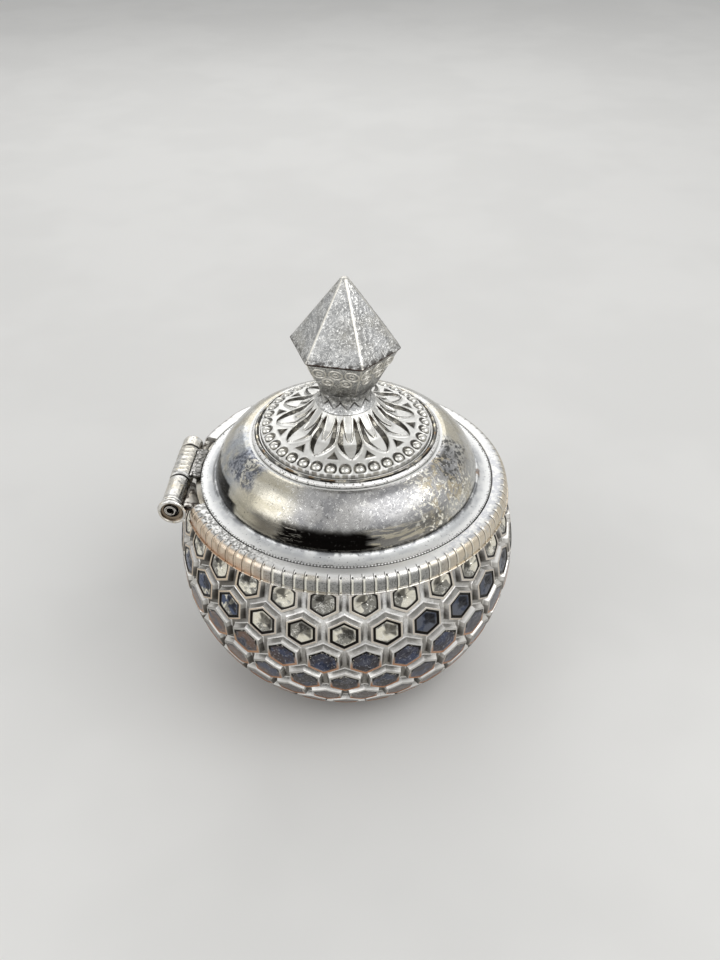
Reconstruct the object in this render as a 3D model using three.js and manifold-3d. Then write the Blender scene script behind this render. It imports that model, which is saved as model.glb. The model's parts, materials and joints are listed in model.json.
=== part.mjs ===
// A small round metal box for sindoor, with a hinged lid.
// The bowl is a cut sphere covered with rows of raised six-sided pads.
// The lid is domed, with a petalled medallion, a spool neck and a six-sided knob.
// Millimetres, +Z up. The origin is the middle of the flat base, the hinge is at -X.

import * as THREE from 'three';
import { mergeVertices } from 'three/addons/utils/BufferGeometryUtils.js';
import Module from 'manifold-3d';

const wasm = await Module();
wasm.setup();

// Fits
const solderGap = 0.1; // between two pieces that are soldered together
const lidClearance = 0.3; // between the lid and what it closes on
const pinClearance = 0.2; // between a pin or stud and its bore
const jointGap = 0.3; // between two knuckles on one pin
const overrun = 1; // how far a cutter runs past what it cuts

// Bowl
const mouthRadius = 21.4;
const bowlWall = 1.15;
const bellyBulge = 2.85; // how far the belly stands out past the bowl's rim
const bottomRadius = 13.2;
const rimLand = 0.15; // plain strip between the rim and the first row
const padHeight = 1;
const padsAround = 27;
const padTurn = THREE.MathUtils.degToRad(0.7);
const padFaceShare = 0.68; // width of a pad's flat face, of the width of its cell
const wellRings = 8; // how finely the smooth inside is divided

// Base plate
const baseRadius = 12.8;
const baseThickness = 1.1;

// Mouth band, the plain ring that the lid lands on
const bandWidth = 1.6;
const bandHeight = 1;

// Ribbed collar around the mouth
const collarWidth = 1.9;
const collarLip = 0.2;
const collarLipDrop = 2.65; // from the top of the collar down to the underside of the lip
const collarTuck = 0.75; // how much higher the collar's inner underside is than its lip
const ribDepth = 0.3;
const ribGrooveShare = 0.3; // width of the groove between two ribs, of their pitch
const ribsAround = 96;
const spliceTurn = THREE.MathUtils.degToRad(142); // where the collar's two ends meet
const spliceSpread = THREE.MathUtils.degToRad(10);
const spliceSwell = 0.15;

// Hinge
const knuckleRadius = 1.65;
const knuckleRidge = 0.12; // how far the turned rings stand out of the lid's knuckle
const knuckleRidgeWidth = 0.24;
const knuckleStand = 0.06; // between the knuckles and the pads' sphere
const hingeDrop = 0.6; // from the seam down to the hinge axis
const lidKnuckleLength = 7.5;
const frontKnuckleLength = 6.1;
const rearKnuckleLength = 2.8;
const rearKnuckleEnd = 0.8; // thickness of the closed end of the rear knuckle
const pinRadius = 0.95;
const pinBore = 0.55;
const pinSink = 0.35; // how far the pin's open end lies inside the end ring
const endRingRadius = 2.1;
const endRingShift = 0.4; // how far the ring's open end leans in towards the bowl
const endRingLength = 0.9;
const endRingRecess = 0.5;
const endRingWall = 0.5;
const bodyTabThickness = 0.9;
const bodyTabInset = 0.15; // from a knuckle's end to the edge of its tab
const lidTabThickness = 0.45;
const lidTabInset = 0.35;
const lidTabReach = 0.6; // from the hinge axis to the near edge of the lid's tab
const tabCurveSteps = 8; // how finely a tab's curved end is divided

// Lid rim and skirt
const lidOverlap = 0.8; // how far the lid's rim lies over the mouth band
const lidRimEdge = 0.4;
const lidRimHeight = 1.05;
const lidShoulder = 0.2; // from the foot of the dome out to the top of the hollow curve
const skirtDepth = 2.1;
const skirtWall = 0.8;

// Dome
const domeInset = 2.3; // from the rim's outer edge in to the foot of the dome
const domeWall = 0.9;
const domeRise = 6.4;
const crownLand = 0.75; // flat strip between the medallion's ring and the dome's bend
const domeBendShare = 1.26; // over 1 the dome's side is flatter than a quarter ellipse
const domeSteps = 6;

// Medallion and its rings
const medallionRingWidth = 1.25;
const medallionRingHeight = 0.85;
const medallionRingGroove = 0.2;
const medallionRadius = 12.65;
const channelFloor = 0.95; // height of the floor of the channel that the beads lie in
const medallionEdge = 1.95; // height of the medallion just inside the channel
const medallionCrown = 5.6; // height of the medallion at the neck
const medallionWall = 1.2;
const petalInset = 0.6; // from the channel in to the tips of the petals
const petalDepth = 0.4; // how deep the grooves between the petals are
const petals = 12;
const petalTurn = THREE.MathUtils.degToRad(9.5);
const beadRadius = 0.74;
const beadWaist = 0.3;
const beadRoom = 0.135; // between the beads and each side of their channel
const beadsAround = 36;
const beadSides = 6;

// Neck and knob
const neckFootRadius = 4.4;
const neckWaistRadius = 3.75;
const neckTopRadius = 3.9;
const neckHeight = 2.7;
const neckWaistShare = 0.6; // height of the waist, of the neck's height
const neckSteps = 4;
const knobFootRadius = 4.5; // to the corners
const knobLedge = 0.35; // how far the upper half stands out over the lower half
const knobGirdleRadius = 8.05; // to the corners
const knobTipRadius = 0.6; // to the corners
const knobLowerHeight = 6.4;
const knobUpperHeight = 10.2;
const knobSides = 6;
const knobTurn = THREE.MathUtils.degToRad(-7.5);

// Stud, washer and nut under the crown of the lid
const studRadius = 1.2;
const studGrip = 4.5; // how far the stud goes up into the knob
const studTail = 0.6; // how far the stud stands below the nut
const washerRadius = 3.2;
const washerThickness = 0.5;
const nutRadius = 2.55; // to the corners
const nutThickness = 1.6;

// How finely round shapes are divided
const roundSides = 40;
const smallSides = 20;
const fullTurn = Math.PI * 2;

// Heights and radii that follow from the sizes above
const rimRadius = mouthRadius + bowlWall;
const valleyRadius = rimRadius + bellyBulge;
const faceRadius = valleyRadius + padHeight;
const wellRadius = valleyRadius - bowlWall;
const bowlBottom = baseThickness + solderGap;
const bellyHeight = bowlBottom + Math.sqrt(valleyRadius ** 2 - bottomRadius ** 2);
const rimHeight = bellyHeight + Math.sqrt(valleyRadius ** 2 - rimRadius ** 2);
const bandTop = rimHeight + solderGap + bandHeight;
const seamHeight = bandTop + lidClearance;
const bandRadius = mouthRadius + bandWidth;
const collarInner = bandRadius + solderGap;
const collarRadius = collarInner + collarWidth;
const collarTop = seamHeight + lidRimEdge;
const hingeHeight = seamHeight - hingeDrop;
const hingeReach = faceRadius + knuckleRadius + knuckleStand;
const hingeX = -Math.sqrt(hingeReach ** 2 - (hingeHeight - bellyHeight) ** 2);
const knuckleBore = pinRadius + pinClearance;
const lidKnuckleHalf = lidKnuckleLength / 2;
const frontKnuckleNear = -(lidKnuckleHalf + jointGap);
const frontKnuckleFar = frontKnuckleNear - frontKnuckleLength;
const rearKnuckleNear = lidKnuckleHalf + jointGap;
const rearKnuckleFar = rearKnuckleNear + rearKnuckleLength;
const endRingNear = frontKnuckleFar - solderGap;
const endRingFar = endRingNear - endRingLength;
const lidRadius = mouthRadius + lidOverlap;
const flangeInner = lidRadius + lidClearance;
const domeRadius = lidRadius - domeInset;
const domeFoot = seamHeight + lidRimHeight + solderGap;
const crownHeight = domeFoot + domeRise;
const channelWidth = (beadRadius + beadRoom) * 2;
const channelInner = medallionRadius - channelWidth;
const petalReach = channelInner - petalInset;
const medallionRingInner = medallionRadius + solderGap;
const medallionRingRadius = medallionRingInner + medallionRingWidth;
const crownRadius = medallionRingRadius + crownLand;
const knobShoulderRadius = knobGirdleRadius - knobLedge;
const medallionFoot = crownHeight + solderGap;
const neckFoot = medallionFoot + medallionCrown + solderGap;
const knobFoot = neckFoot + neckHeight + solderGap;
const girdleHeight = knobFoot + knobLowerHeight;
const studBore = studRadius + pinClearance;
const washerTop = crownHeight - domeWall - solderGap;
const nutTop = washerTop - washerThickness - solderGap;

// Shared helpers

function finish(name, geometry, color, roughness) {
  const material = new THREE.MeshStandardMaterial({ color, roughness, metalness: 1 });
  const mesh = new THREE.Mesh(geometry, material);
  mesh.name = name;
  return mesh;
}

// A closed profile of [radius, height] points turned about the Z axis.
function turned(profile, sides = roundSides) {
  const points = profile.map(([radius, height]) => new THREE.Vector2(radius, height));
  points.push(points[0].clone());
  return new THREE.LatheGeometry(points, sides).rotateX(Math.PI / 2);
}

// A closed profile turned about the hinge axis.
function turnedOnHinge(profile, sides = smallSides) {
  return turned(profile, sides).rotateX(-Math.PI / 2).translate(hingeX, 0, hingeHeight);
}

function ringProfile(inner, outer, low, high) {
  return [[inner, low], [outer, low], [outer, high], [inner, high]];
}

function toSolid(geometry) {
  const plain = geometry.clone();
  plain.deleteAttribute('normal');
  plain.deleteAttribute('uv');
  const merged = mergeVertices(plain);
  return new wasm.Manifold(new wasm.Mesh({
    numProp: 3,
    vertProperties: new Float32Array(merged.attributes.position.array),
    triVerts: new Uint32Array(merged.index.array),
  }));
}

function cut(geometry, cutter) {
  const mesh = toSolid(geometry).subtract(toSolid(cutter)).getMesh();
  return fromLists(Array.from(mesh.vertProperties), Array.from(mesh.triVerts));
}

function fromLists(positions, triangles) {
  const geometry = new THREE.BufferGeometry();
  geometry.setAttribute('position', new THREE.Float32BufferAttribute(positions, 3));
  geometry.setIndex(triangles);
  geometry.computeVertexNormals();
  return geometry;
}

// A solid swept around the Z axis through sections that may change on the way.
// Each station is { turn, loop }, where loop lists [radius, height] points.
function swept(stations, isRing) {
  const positions = [];
  const triangles = [];
  const size = stations[0].loop.length;
  for (const { turn, loop } of stations) {
    for (const [radius, height] of loop) {
      positions.push(radius * Math.cos(turn), radius * Math.sin(turn), height);
    }
  }
  const spans = isRing ? stations.length : stations.length - 1;
  for (let span = 0; span < spans; span += 1) {
    const here = span * size;
    const next = ((span + 1) % stations.length) * size;
    for (let side = 0; side < size; side += 1) {
      const after = (side + 1) % size;
      triangles.push(here + side, next + side, next + after);
      triangles.push(here + side, next + after, here + after);
    }
  }
  if (!isRing) {
    const last = (stations.length - 1) * size;
    for (let side = 1; side < size - 1; side += 1) {
      triangles.push(0, side, side + 1);
      triangles.push(last, last + side + 1, last + side);
    }
  }
  return fromLists(positions, triangles);
}

// Bowl

// The pads keep their shape on the sphere because each row climbs by the same
// amount of this coordinate, as on a sailor's chart.
function climbOf(height, radius) {
  return Math.atanh((height - bellyHeight) / radius);
}

function onSphere(radius, turn, climb) {
  const ring = radius / Math.cosh(climb);
  return [ring * Math.cos(turn), ring * Math.sin(turn), bellyHeight + radius * Math.tanh(climb)];
}

function bowl() {
  const positions = [];
  const triangles = [];
  const columns = padsAround * 2;
  const step = Math.PI / padsAround;
  const sideShare = 1 / Math.sqrt(3); // half a side of a six-sided pad, of half its width
  const edgeClimb = step * sideShare; // from a pad's middle up to the top of its side edges
  const cornerClimb = edgeClimb * 2; // and up to its top corner
  const rowClimb = edgeClimb + cornerClimb; // from one row to the next
  const firstRow = climbOf(rimHeight - rimLand, valleyRadius) - cornerClimb;
  const lowestRow = climbOf(bowlBottom, faceRadius) + cornerClimb * padFaceShare;
  const rows = 1 + Math.floor((firstRow - lowestRow) / rowClimb);
  const isCentre = (row, column) => (row + column) % 2 === 0;

  // Adds a point and gives back its number.
  const addPoint = (point) => positions.push(...point) / point.length - 1;
  const addCircle = (radius, height) => {
    const circle = [];
    for (let column = 0; column < columns; column += 1) {
      const turn = padTurn + column * step;
      circle.push(addPoint([radius * Math.cos(turn), radius * Math.sin(turn), height]));
    }
    return circle;
  };
  const addBand = (upper, lower) => {
    for (let column = 0; column < columns; column += 1) {
      const next = (column + 1) % columns;
      triangles.push(upper[column], lower[column], lower[next]);
      triangles.push(upper[column], lower[next], upper[next]);
    }
  };
  const addFan = (circle, centre, facesUp) => {
    for (let column = 0; column < columns; column += 1) {
      const pair = [circle[column], circle[(column + 1) % columns]];
      triangles.push(centre, ...(facesUp ? pair : pair.reverse()));
    }
  };

  // The zigzag valleys between the rows of pads
  const zigzags = [];
  for (let line = 0; line <= rows; line += 1) {
    const zigzag = [];
    for (let column = 0; column < columns; column += 1) {
      const climb = firstRow - rowClimb * line + (isCentre(line, column) ? cornerClimb : edgeClimb);
      zigzag.push(addPoint(onSphere(valleyRadius, padTurn + column * step, climb)));
    }
    zigzags.push(zigzag);
  }

  // The pads, each with a flat face and six sloping sides
  for (let row = 0; row < rows; row += 1) {
    for (let column = 0; column < columns; column += 1) {
      if (!isCentre(row, column)) continue;
      const left = (column + columns - 1) % columns;
      const right = (column + 1) % columns;
      const upper = zigzags[row];
      const lower = zigzags[row + 1];
      const border = [
        upper[column], upper[left], lower[left], lower[column], lower[right], upper[right],
      ];
      const corners = [
        [0, cornerClimb], [-1, edgeClimb], [-1, -edgeClimb],
        [0, -cornerClimb], [1, -edgeClimb], [1, edgeClimb],
      ];
      const face = corners.map(([across, up]) => addPoint(onSphere(
        faceRadius,
        padTurn + (column + across * padFaceShare) * step,
        firstRow - rowClimb * row + up * padFaceShare,
      )));
      for (let side = 0; side < border.length; side += 1) {
        const next = (side + 1) % border.length;
        triangles.push(border[side], border[next], face[next], border[side], face[next], face[side]);
      }
      for (let side = 1; side < face.length - 1; side += 1) {
        triangles.push(face[0], face[side], face[side + 1]);
      }
    }
  }

  // The rim, the bottom and the smooth well inside
  const rim = addCircle(rimRadius, rimHeight);
  const bottom = addCircle(bottomRadius, bowlBottom);
  addBand(rim, zigzags[0]);
  addBand(zigzags[rows], bottom);
  addFan(bottom, addPoint([0, 0, bowlBottom]), false);

  const floorHeight = bowlBottom + bowlWall;
  const lowAngle = Math.asin((floorHeight - bellyHeight) / wellRadius);
  const highAngle = Math.acos(mouthRadius / wellRadius);
  let ring = addCircle(wellRadius * Math.cos(lowAngle), floorHeight);
  addFan(ring, addPoint([0, 0, floorHeight]), true);
  for (let index = 1; index <= wellRings; index += 1) {
    const angle = THREE.MathUtils.lerp(lowAngle, highAngle, index / wellRings);
    const above = addCircle(
      wellRadius * Math.cos(angle),
      bellyHeight + wellRadius * Math.sin(angle),
    );
    addBand(ring, above);
    ring = above;
  }
  const lip = addCircle(mouthRadius, rimHeight);
  addBand(ring, lip);
  addBand(lip, rim);

  return finish('bowl', fromLists(positions, triangles), 0xd8d6cf, 0.22);
}

function basePlate() {
  const profile = ringProfile(0, baseRadius, 0, baseThickness);
  return finish('base_plate', turned(profile), 0xc9c6bd, 0.4);
}

// Mouth

function mouthBand() {
  const profile = ringProfile(mouthRadius, bandRadius, rimHeight + solderGap, bandTop);
  return finish('mouth_band', turned(profile), 0xb9b5ab, 0.45);
}

// The collar's flange covers the band and ends flush with the edge of the lid.
function collar() {
  const lipLow = collarTop - collarLipDrop;
  const ribFoot = lipLow + collarLip;
  const gapBeyond = (far) => Math.asin((far - bodyTabInset + solderGap) / collarInner);
  const start = Math.PI + gapBeyond(-frontKnuckleFar);
  const end = Math.PI * 3 - gapBeyond(rearKnuckleFar);
  const ribs = Math.round((end - start) / (fullTurn / ribsAround));
  const grooveHalfShare = ribGrooveShare / 2;
  const depthShares = [[0, 1], [grooveHalfShare, 0], [1 - grooveHalfShare, 0]];
  const crestShares = [[1, 0], [0.97, 0.42], [0.84, 0.78], [0.58, 0.97]];
  const flatShare = 0.35;
  const stations = [];
  const addStation = (turn, groove, swell) => {
    const width = collarWidth - collarLip + swell;
    const height = collarTop - ribFoot + swell;
    const crest = crestShares.map(([out, up], index) => {
      const isWorked = index < crestShares.length - 1;
      const sunk = isWorked ? groove : 0;
      return [collarInner + width * out - sunk, ribFoot + (height - sunk) * up];
    });
    stations.push({
      turn,
      loop: [
        [collarInner, lipLow + collarTuck],
        [collarRadius, lipLow],
        [collarRadius, ribFoot],
        ...crest,
        [collarInner + width * flatShare, collarTop + swell],
        [flangeInner, collarTop + swell],
        [flangeInner, bandTop + solderGap],
        [collarInner, bandTop + solderGap],
      ],
    });
  };
  for (let rib = 0; rib < ribs; rib += 1) {
    for (const [share, depth] of depthShares) {
      const turn = THREE.MathUtils.lerp(start, end, (rib + share) / ribs);
      const isSplice = Math.abs(turn - fullTurn - spliceTurn) < spliceSpread / 2;
      addStation(turn, isSplice ? 0 : ribDepth * depth, isSplice ? spliceSwell : 0);
    }
  }
  addStation(end, ribDepth, 0);
  return finish('collar', swept(stations, false), 0xd2cdbf, 0.28);
}

// Hinge

function frontKnuckle() {
  const profile = ringProfile(knuckleBore, knuckleRadius, frontKnuckleFar, frontKnuckleNear);
  return finish('front_knuckle', turnedOnHinge(profile), 0xd9d9d6, 0.25);
}

function rearKnuckle() {
  const roundShares = [[0.92, 0.4], [0.7, 0.8], [0.35, 1]];
  const straight = rearKnuckleFar - rearKnuckleEnd;
  const profile = [
    [0, straight],
    [knuckleBore, straight],
    [knuckleBore, rearKnuckleNear],
    [knuckleRadius, rearKnuckleNear],
    [knuckleRadius, straight],
    ...roundShares.map(([out, along]) => [knuckleRadius * out, straight + rearKnuckleEnd * along]),
    [0, rearKnuckleFar],
  ];
  return finish('rear_knuckle', turnedOnHinge(profile), 0xd9d9d6, 0.25);
}

function lidKnuckle() {
  const ridgeShares = [-0.62, -0.42, 0.42, 0.62];
  const crestHalf = knuckleRidgeWidth / 2;
  const outline = [];
  for (const share of ridgeShares) {
    const middle = lidKnuckleHalf * share;
    outline.push([knuckleRadius, middle - knuckleRidgeWidth]);
    outline.push([knuckleRadius + knuckleRidge, middle - crestHalf]);
    outline.push([knuckleRadius + knuckleRidge, middle + crestHalf]);
    outline.push([knuckleRadius, middle + knuckleRidgeWidth]);
  }
  const profile = [
    [knuckleBore, -lidKnuckleHalf],
    [knuckleRadius, -lidKnuckleHalf],
    ...outline,
    [knuckleRadius, lidKnuckleHalf],
    [knuckleBore, lidKnuckleHalf],
  ];
  return finish('lid_knuckle', turnedOnHinge(profile), 0xcfcfcb, 0.3);
}

function hingePin() {
  const profile = ringProfile(
    pinBore, pinRadius,
    endRingFar + pinSink, rearKnuckleFar - rearKnuckleEnd - solderGap,
  );
  return finish('hinge_pin', turnedOnHinge(profile), 0xa89f92, 0.4);
}

function endRing() {
  const hollowRadius = endRingRadius - endRingWall;
  const hollowEnd = endRingFar + endRingRecess;
  const lean = endRingShift / endRingLength;
  const leaning = new THREE.Matrix4().makeShear(0, 0, -lean, 0, 0, 0);
  const flare = turnedOnHinge([
    [0, hollowEnd],
    [hollowRadius, hollowEnd],
    [hollowRadius, endRingFar],
    [endRingRadius, endRingFar],
    [endRingRadius, hollowEnd],
    [knuckleRadius, endRingNear],
    [0, endRingNear],
  ]).applyMatrix4(leaning).translate(lean * endRingNear, 0, 0);
  const bore = turnedOnHinge(
    ringProfile(0, pinRadius + solderGap, endRingFar, endRingNear + overrun),
  );
  return finish('hinge_end_ring', cut(flare, bore), 0xcfccc4, 0.3);
}

// A flat tab from the hinge axis to a circle about the Z axis, hollowed for its knuckle.
function tab(name, circleRadius, nearX, [fromY, toY], low, thickness, color) {
  const circleX = (y) => -Math.sqrt(circleRadius ** 2 - y ** 2);
  const outline = new THREE.Shape();
  outline.moveTo(nearX, fromY);
  outline.lineTo(circleX(fromY), fromY);
  outline.absarc(0, 0, circleRadius, Math.atan2(fromY, circleX(fromY)),
    Math.atan2(toY, circleX(toY)), true);
  outline.lineTo(nearX, toY);
  outline.closePath();
  const plate = new THREE.ExtrudeGeometry(outline, {
    depth: thickness, bevelEnabled: false, curveSegments: tabCurveSteps,
  }).translate(0, 0, low);
  const seat = turnedOnHinge(
    ringProfile(0, knuckleRadius + knuckleRidge + solderGap, fromY - overrun, toY + overrun),
  );
  return finish(name, cut(plate, seat), color, 0.4);
}

function bodyTab(name, fromY, toY) {
  return tab(name, bandRadius + solderGap, hingeX, [fromY + bodyTabInset, toY - bodyTabInset],
    hingeHeight - bodyTabThickness / 2, bodyTabThickness, 0x9a8468);
}

function lidTab() {
  const half = lidKnuckleHalf - lidTabInset;
  return tab('lid_tab', lidRadius + solderGap, hingeX + lidTabReach, [-half, half],
    seamHeight + solderGap, lidTabThickness, 0xc4c2bb);
}

// Lid

function lidRim() {
  const top = seamHeight + lidRimHeight;
  const curveShares = [[0.45, 0.12], [0.8, 0.45]];
  const outerEdge = seamHeight + lidRimEdge;
  const shoulder = domeRadius + lidShoulder;
  const hollow = curveShares.map(([across, up]) => [
    THREE.MathUtils.lerp(lidRadius, shoulder, across),
    THREE.MathUtils.lerp(outerEdge, top, up),
  ]);
  const profile = [
    [domeRadius - domeWall, seamHeight],
    [lidRadius, seamHeight],
    [lidRadius, outerEdge],
    ...hollow,
    [shoulder, top],
    [domeRadius - domeWall, top],
  ];
  return finish('lid_rim', turned(profile), 0xe6e4de, 0.5);
}

function lidSkirt() {
  const outer = mouthRadius - lidClearance;
  const top = seamHeight - solderGap;
  const profile = ringProfile(outer - skirtWall, outer, top - skirtDepth, top);
  return finish('lid_skirt', turned(profile), 0xcfcbc2, 0.35);
}

function lidDome() {
  const shell = (foot, crown, low, high) => {
    const points = [];
    for (let index = 0; index <= domeSteps; index += 1) {
      const angle = (Math.PI / 2) * (index / domeSteps);
      const out = Math.cos(angle) ** domeBendShare;
      const up = Math.sin(angle) ** domeBendShare;
      points.push([crown + (foot - crown) * out, low + (high - low) * up]);
    }
    return points;
  };
  const outside = shell(domeRadius, crownRadius, domeFoot, crownHeight);
  const inside = shell(domeRadius - domeWall, crownRadius - domeWall, domeFoot, crownHeight - domeWall);
  const profile = [
    ...outside,
    [studBore, crownHeight],
    [studBore, crownHeight - domeWall],
    ...inside.reverse(),
  ];
  return finish('lid_dome', turned(profile), 0xdad8d0, 0.15);
}

function medallionRing() {
  const top = medallionFoot + medallionRingHeight;
  const outerShares = [[1, 0.45], [0.85, 0.85], [0.62, 1]];
  const innerShares = [[0.28, 1], [0, 0.8]];
  const grooveShare = 0.45;
  const across = (share) => medallionRingInner + medallionRingWidth * share;
  const place = ([out, up]) => [across(out), medallionFoot + medallionRingHeight * up];
  const profile = [
    [medallionRingInner, medallionFoot],
    [medallionRingRadius, medallionFoot],
    ...outerShares.map(place),
    [across(grooveShare), top - medallionRingGroove],
    ...innerShares.map(place),
  ];
  return finish('medallion_ring', turned(profile), 0xdedcd5, 0.15);
}

function medallion() {
  const ridgeShares = [1, 0.8, 0, 0.8];
  const climbShares = [[0.1, 0.08], [0.45, 0.22], [0.72, 0.46], [0.89, 0.73], [1, 1]];
  const rise = ([inward, up]) => [
    THREE.MathUtils.lerp(petalReach, neckFootRadius, inward),
    THREE.MathUtils.lerp(medallionEdge, medallionCrown, up),
  ];
  const top = climbShares.map(rise);
  const hollow = climbShares.map(rise).reverse();
  const count = petals * ridgeShares.length;
  const stations = [];
  for (let index = 0; index < count; index += 1) {
    const groove = petalDepth * (1 - ridgeShares[index % ridgeShares.length]);
    const loop = [
      [top[0][0], 0],
      [medallionRadius, 0],
      [medallionRadius, channelFloor],
      [channelInner, channelFloor],
      [channelInner, medallionEdge],
      ...top.map(([radius, height]) => [radius, height - (radius > neckFootRadius ? groove : 0)]),
      [studBore, medallionCrown],
      [studBore, medallionCrown - medallionWall],
      ...hollow.map(([radius, height]) => [radius, height - medallionWall]),
    ];
    stations.push({
      turn: petalTurn + fullTurn * (index / count),
      loop: loop.map(([radius, height]) => [radius, medallionFoot + height]),
    });
  }
  return finish('medallion', swept(stations, true), 0xe4e2db, 0.5);
}

function beadRing() {
  const ringRadius = medallionRadius - channelWidth / 2;
  const height = medallionFoot + channelFloor + solderGap + beadRadius;
  const beadShares = [0, 0.75, 1, 0.75];
  const count = beadsAround * beadShares.length;
  const stations = [];
  for (let index = 0; index < count; index += 1) {
    const size = THREE.MathUtils.lerp(beadWaist, beadRadius, beadShares[index % beadShares.length]);
    const loop = [];
    for (let side = 0; side < beadSides; side += 1) {
      const angle = fullTurn * (side / beadSides);
      loop.push([ringRadius + size * Math.cos(angle), height + size * Math.sin(angle)]);
    }
    const shift = Math.PI / beadsAround;
    stations.push({ turn: petalTurn + shift + fullTurn * (index / count), loop });
  }
  return finish('bead_ring', swept(stations, true), 0xe0ddd5, 0.3);
}

// Neck and knob

function neck() {
  const waist = neckHeight * neckWaistShare;
  const outside = [];
  for (let index = 0; index <= neckSteps; index += 1) {
    const share = index / neckSteps;
    const radius = neckWaistRadius + (neckFootRadius - neckWaistRadius) * (1 - share) ** 2;
    outside.push([radius, neckFoot + waist * share]);
  }
  const profile = [
    [studBore, neckFoot],
    ...outside,
    [neckTopRadius, neckFoot + neckHeight],
    [studBore, neckFoot + neckHeight],
  ];
  return finish('neck', turned(profile, smallSides), 0xd6d3ca, 0.2);
}

function sixSided(lowRadius, highRadius, low, height) {
  return new THREE.CylinderGeometry(highRadius, lowRadius, height, knobSides)
    .rotateX(Math.PI / 2)
    .rotateZ(knobTurn + Math.PI / 2)
    .translate(0, 0, low + height / 2);
}

function knobLower() {
  const height = knobLowerHeight - solderGap;
  const body = sixSided(knobFootRadius, knobShoulderRadius, knobFoot, height);
  const bore = turned(
    ringProfile(0, studBore, knobFoot - overrun, knobFoot + studGrip + solderGap),
    smallSides,
  );
  return finish('knob_lower', cut(body, bore), 0xd4d1c8, 0.35);
}

function knobUpper() {
  const body = sixSided(knobGirdleRadius, knobTipRadius, girdleHeight, knobUpperHeight);
  return finish('knob_upper', body, 0xdddad2, 0.3);
}

// Fastening under the crown

function stud() {
  const low = nutTop - nutThickness - studTail;
  const profile = ringProfile(0, studRadius, low, knobFoot + studGrip);
  return finish('knob_stud', turned(profile, smallSides), 0xb5a98f, 0.4);
}

function washer() {
  const profile = ringProfile(studBore, washerRadius, washerTop - washerThickness, washerTop);
  return finish('knob_washer', turned(profile, smallSides), 0xb9b5ab, 0.4);
}

function nut() {
  const body = sixSided(nutRadius, nutRadius, nutTop - nutThickness, nutThickness);
  const bore = turned(ringProfile(
    0, studBore, nutTop - nutThickness - overrun, nutTop + overrun,
  ), smallSides);
  return finish('knob_nut', cut(body, bore), 0xb5a98f, 0.4);
}

const body = new THREE.Group();
body.add(
  bowl(),
  basePlate(),
  mouthBand(),
  collar(),
  frontKnuckle(),
  rearKnuckle(),
  hingePin(),
  endRing(),
  bodyTab('front_tab', frontKnuckleFar, frontKnuckleNear),
  bodyTab('rear_tab', rearKnuckleNear, rearKnuckleFar),
);

const lid = new THREE.Group();
lid.add(
  lidKnuckle(),
  lidTab(),
  lidRim(),
  lidSkirt(),
  lidDome(),
  medallionRing(),
  medallion(),
  beadRing(),
  neck(),
  knobLower(),
  knobUpper(),
  stud(),
  washer(),
  nut(),
);

const box = new THREE.Group();
box.name = 'sindoor_box';
box.add(body, lid);

export default box;
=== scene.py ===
# A round sindoor box in silver plate on brass, with a hinged lid, on a pale studio floor.
# Sizes are in millimetres up to the point where a mesh is made, and the meshes are in metres.
import json
import math

import bmesh
import bpy
from mathutils import Matrix, Vector, noise


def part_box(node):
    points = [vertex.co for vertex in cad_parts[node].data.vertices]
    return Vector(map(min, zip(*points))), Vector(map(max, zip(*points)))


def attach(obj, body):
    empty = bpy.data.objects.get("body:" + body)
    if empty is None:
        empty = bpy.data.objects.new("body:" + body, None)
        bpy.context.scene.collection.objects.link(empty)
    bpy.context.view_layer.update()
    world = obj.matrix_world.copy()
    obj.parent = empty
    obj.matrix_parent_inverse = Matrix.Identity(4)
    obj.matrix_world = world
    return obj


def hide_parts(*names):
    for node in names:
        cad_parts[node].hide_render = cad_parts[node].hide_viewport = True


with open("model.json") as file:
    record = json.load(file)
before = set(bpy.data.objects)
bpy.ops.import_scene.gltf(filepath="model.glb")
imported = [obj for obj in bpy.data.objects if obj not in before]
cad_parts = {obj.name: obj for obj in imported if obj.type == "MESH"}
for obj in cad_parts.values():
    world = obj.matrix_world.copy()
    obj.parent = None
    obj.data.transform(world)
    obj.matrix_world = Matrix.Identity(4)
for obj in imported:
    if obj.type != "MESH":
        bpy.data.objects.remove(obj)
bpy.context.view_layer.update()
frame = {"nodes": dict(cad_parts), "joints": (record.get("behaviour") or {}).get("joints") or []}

mm = 0.001
full_turn = math.tau


def extent(node):
    """The lowest and highest corner of a node, in millimetres."""
    return [Vector(corner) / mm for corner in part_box(node)]


# Places that the solids give
bowl_low, bowl_high = extent("bowl")
band_low, band_high = extent("mouth_band")
collar_low = extent("collar")[0]
rim_low, rim_high = extent("lid_rim")
skirt_low, skirt_high = extent("lid_skirt")
dome_low, dome_high = extent("lid_dome")
ring_low, ring_high = extent("medallion_ring")
medallion_low, medallion_high = extent("medallion")
bead_low, bead_high = extent("bead_ring")
neck_low, neck_high = extent("neck")
knob_low, girdle = extent("knob_lower")
tip_low, tip_high = extent("knob_upper")
front_low, front_high = extent("front_knuckle")
rear_low, rear_high = extent("rear_knuckle")
middle_low, middle_high = extent("lid_knuckle")
end_low, end_high = extent("hinge_end_ring")
pin_low, pin_high = extent("hinge_pin")
tab_low = extent("front_tab")[0]
base_low, base_high = extent("base_plate")
stud_low, stud_high = extent("knob_stud")
washer_low, washer_high = extent("knob_washer")
nut_low, nut_high = extent("knob_nut")
hinge = Vector(frame["joints"][0]["pos_m"]) / mm

# How finely round shapes are cut
round_sides = 192
fine_sides = 240
hinge_sides = 72
washer_sides = 96
stud_sides = 48
wire_sides = 6
corner_parts = 4

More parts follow.
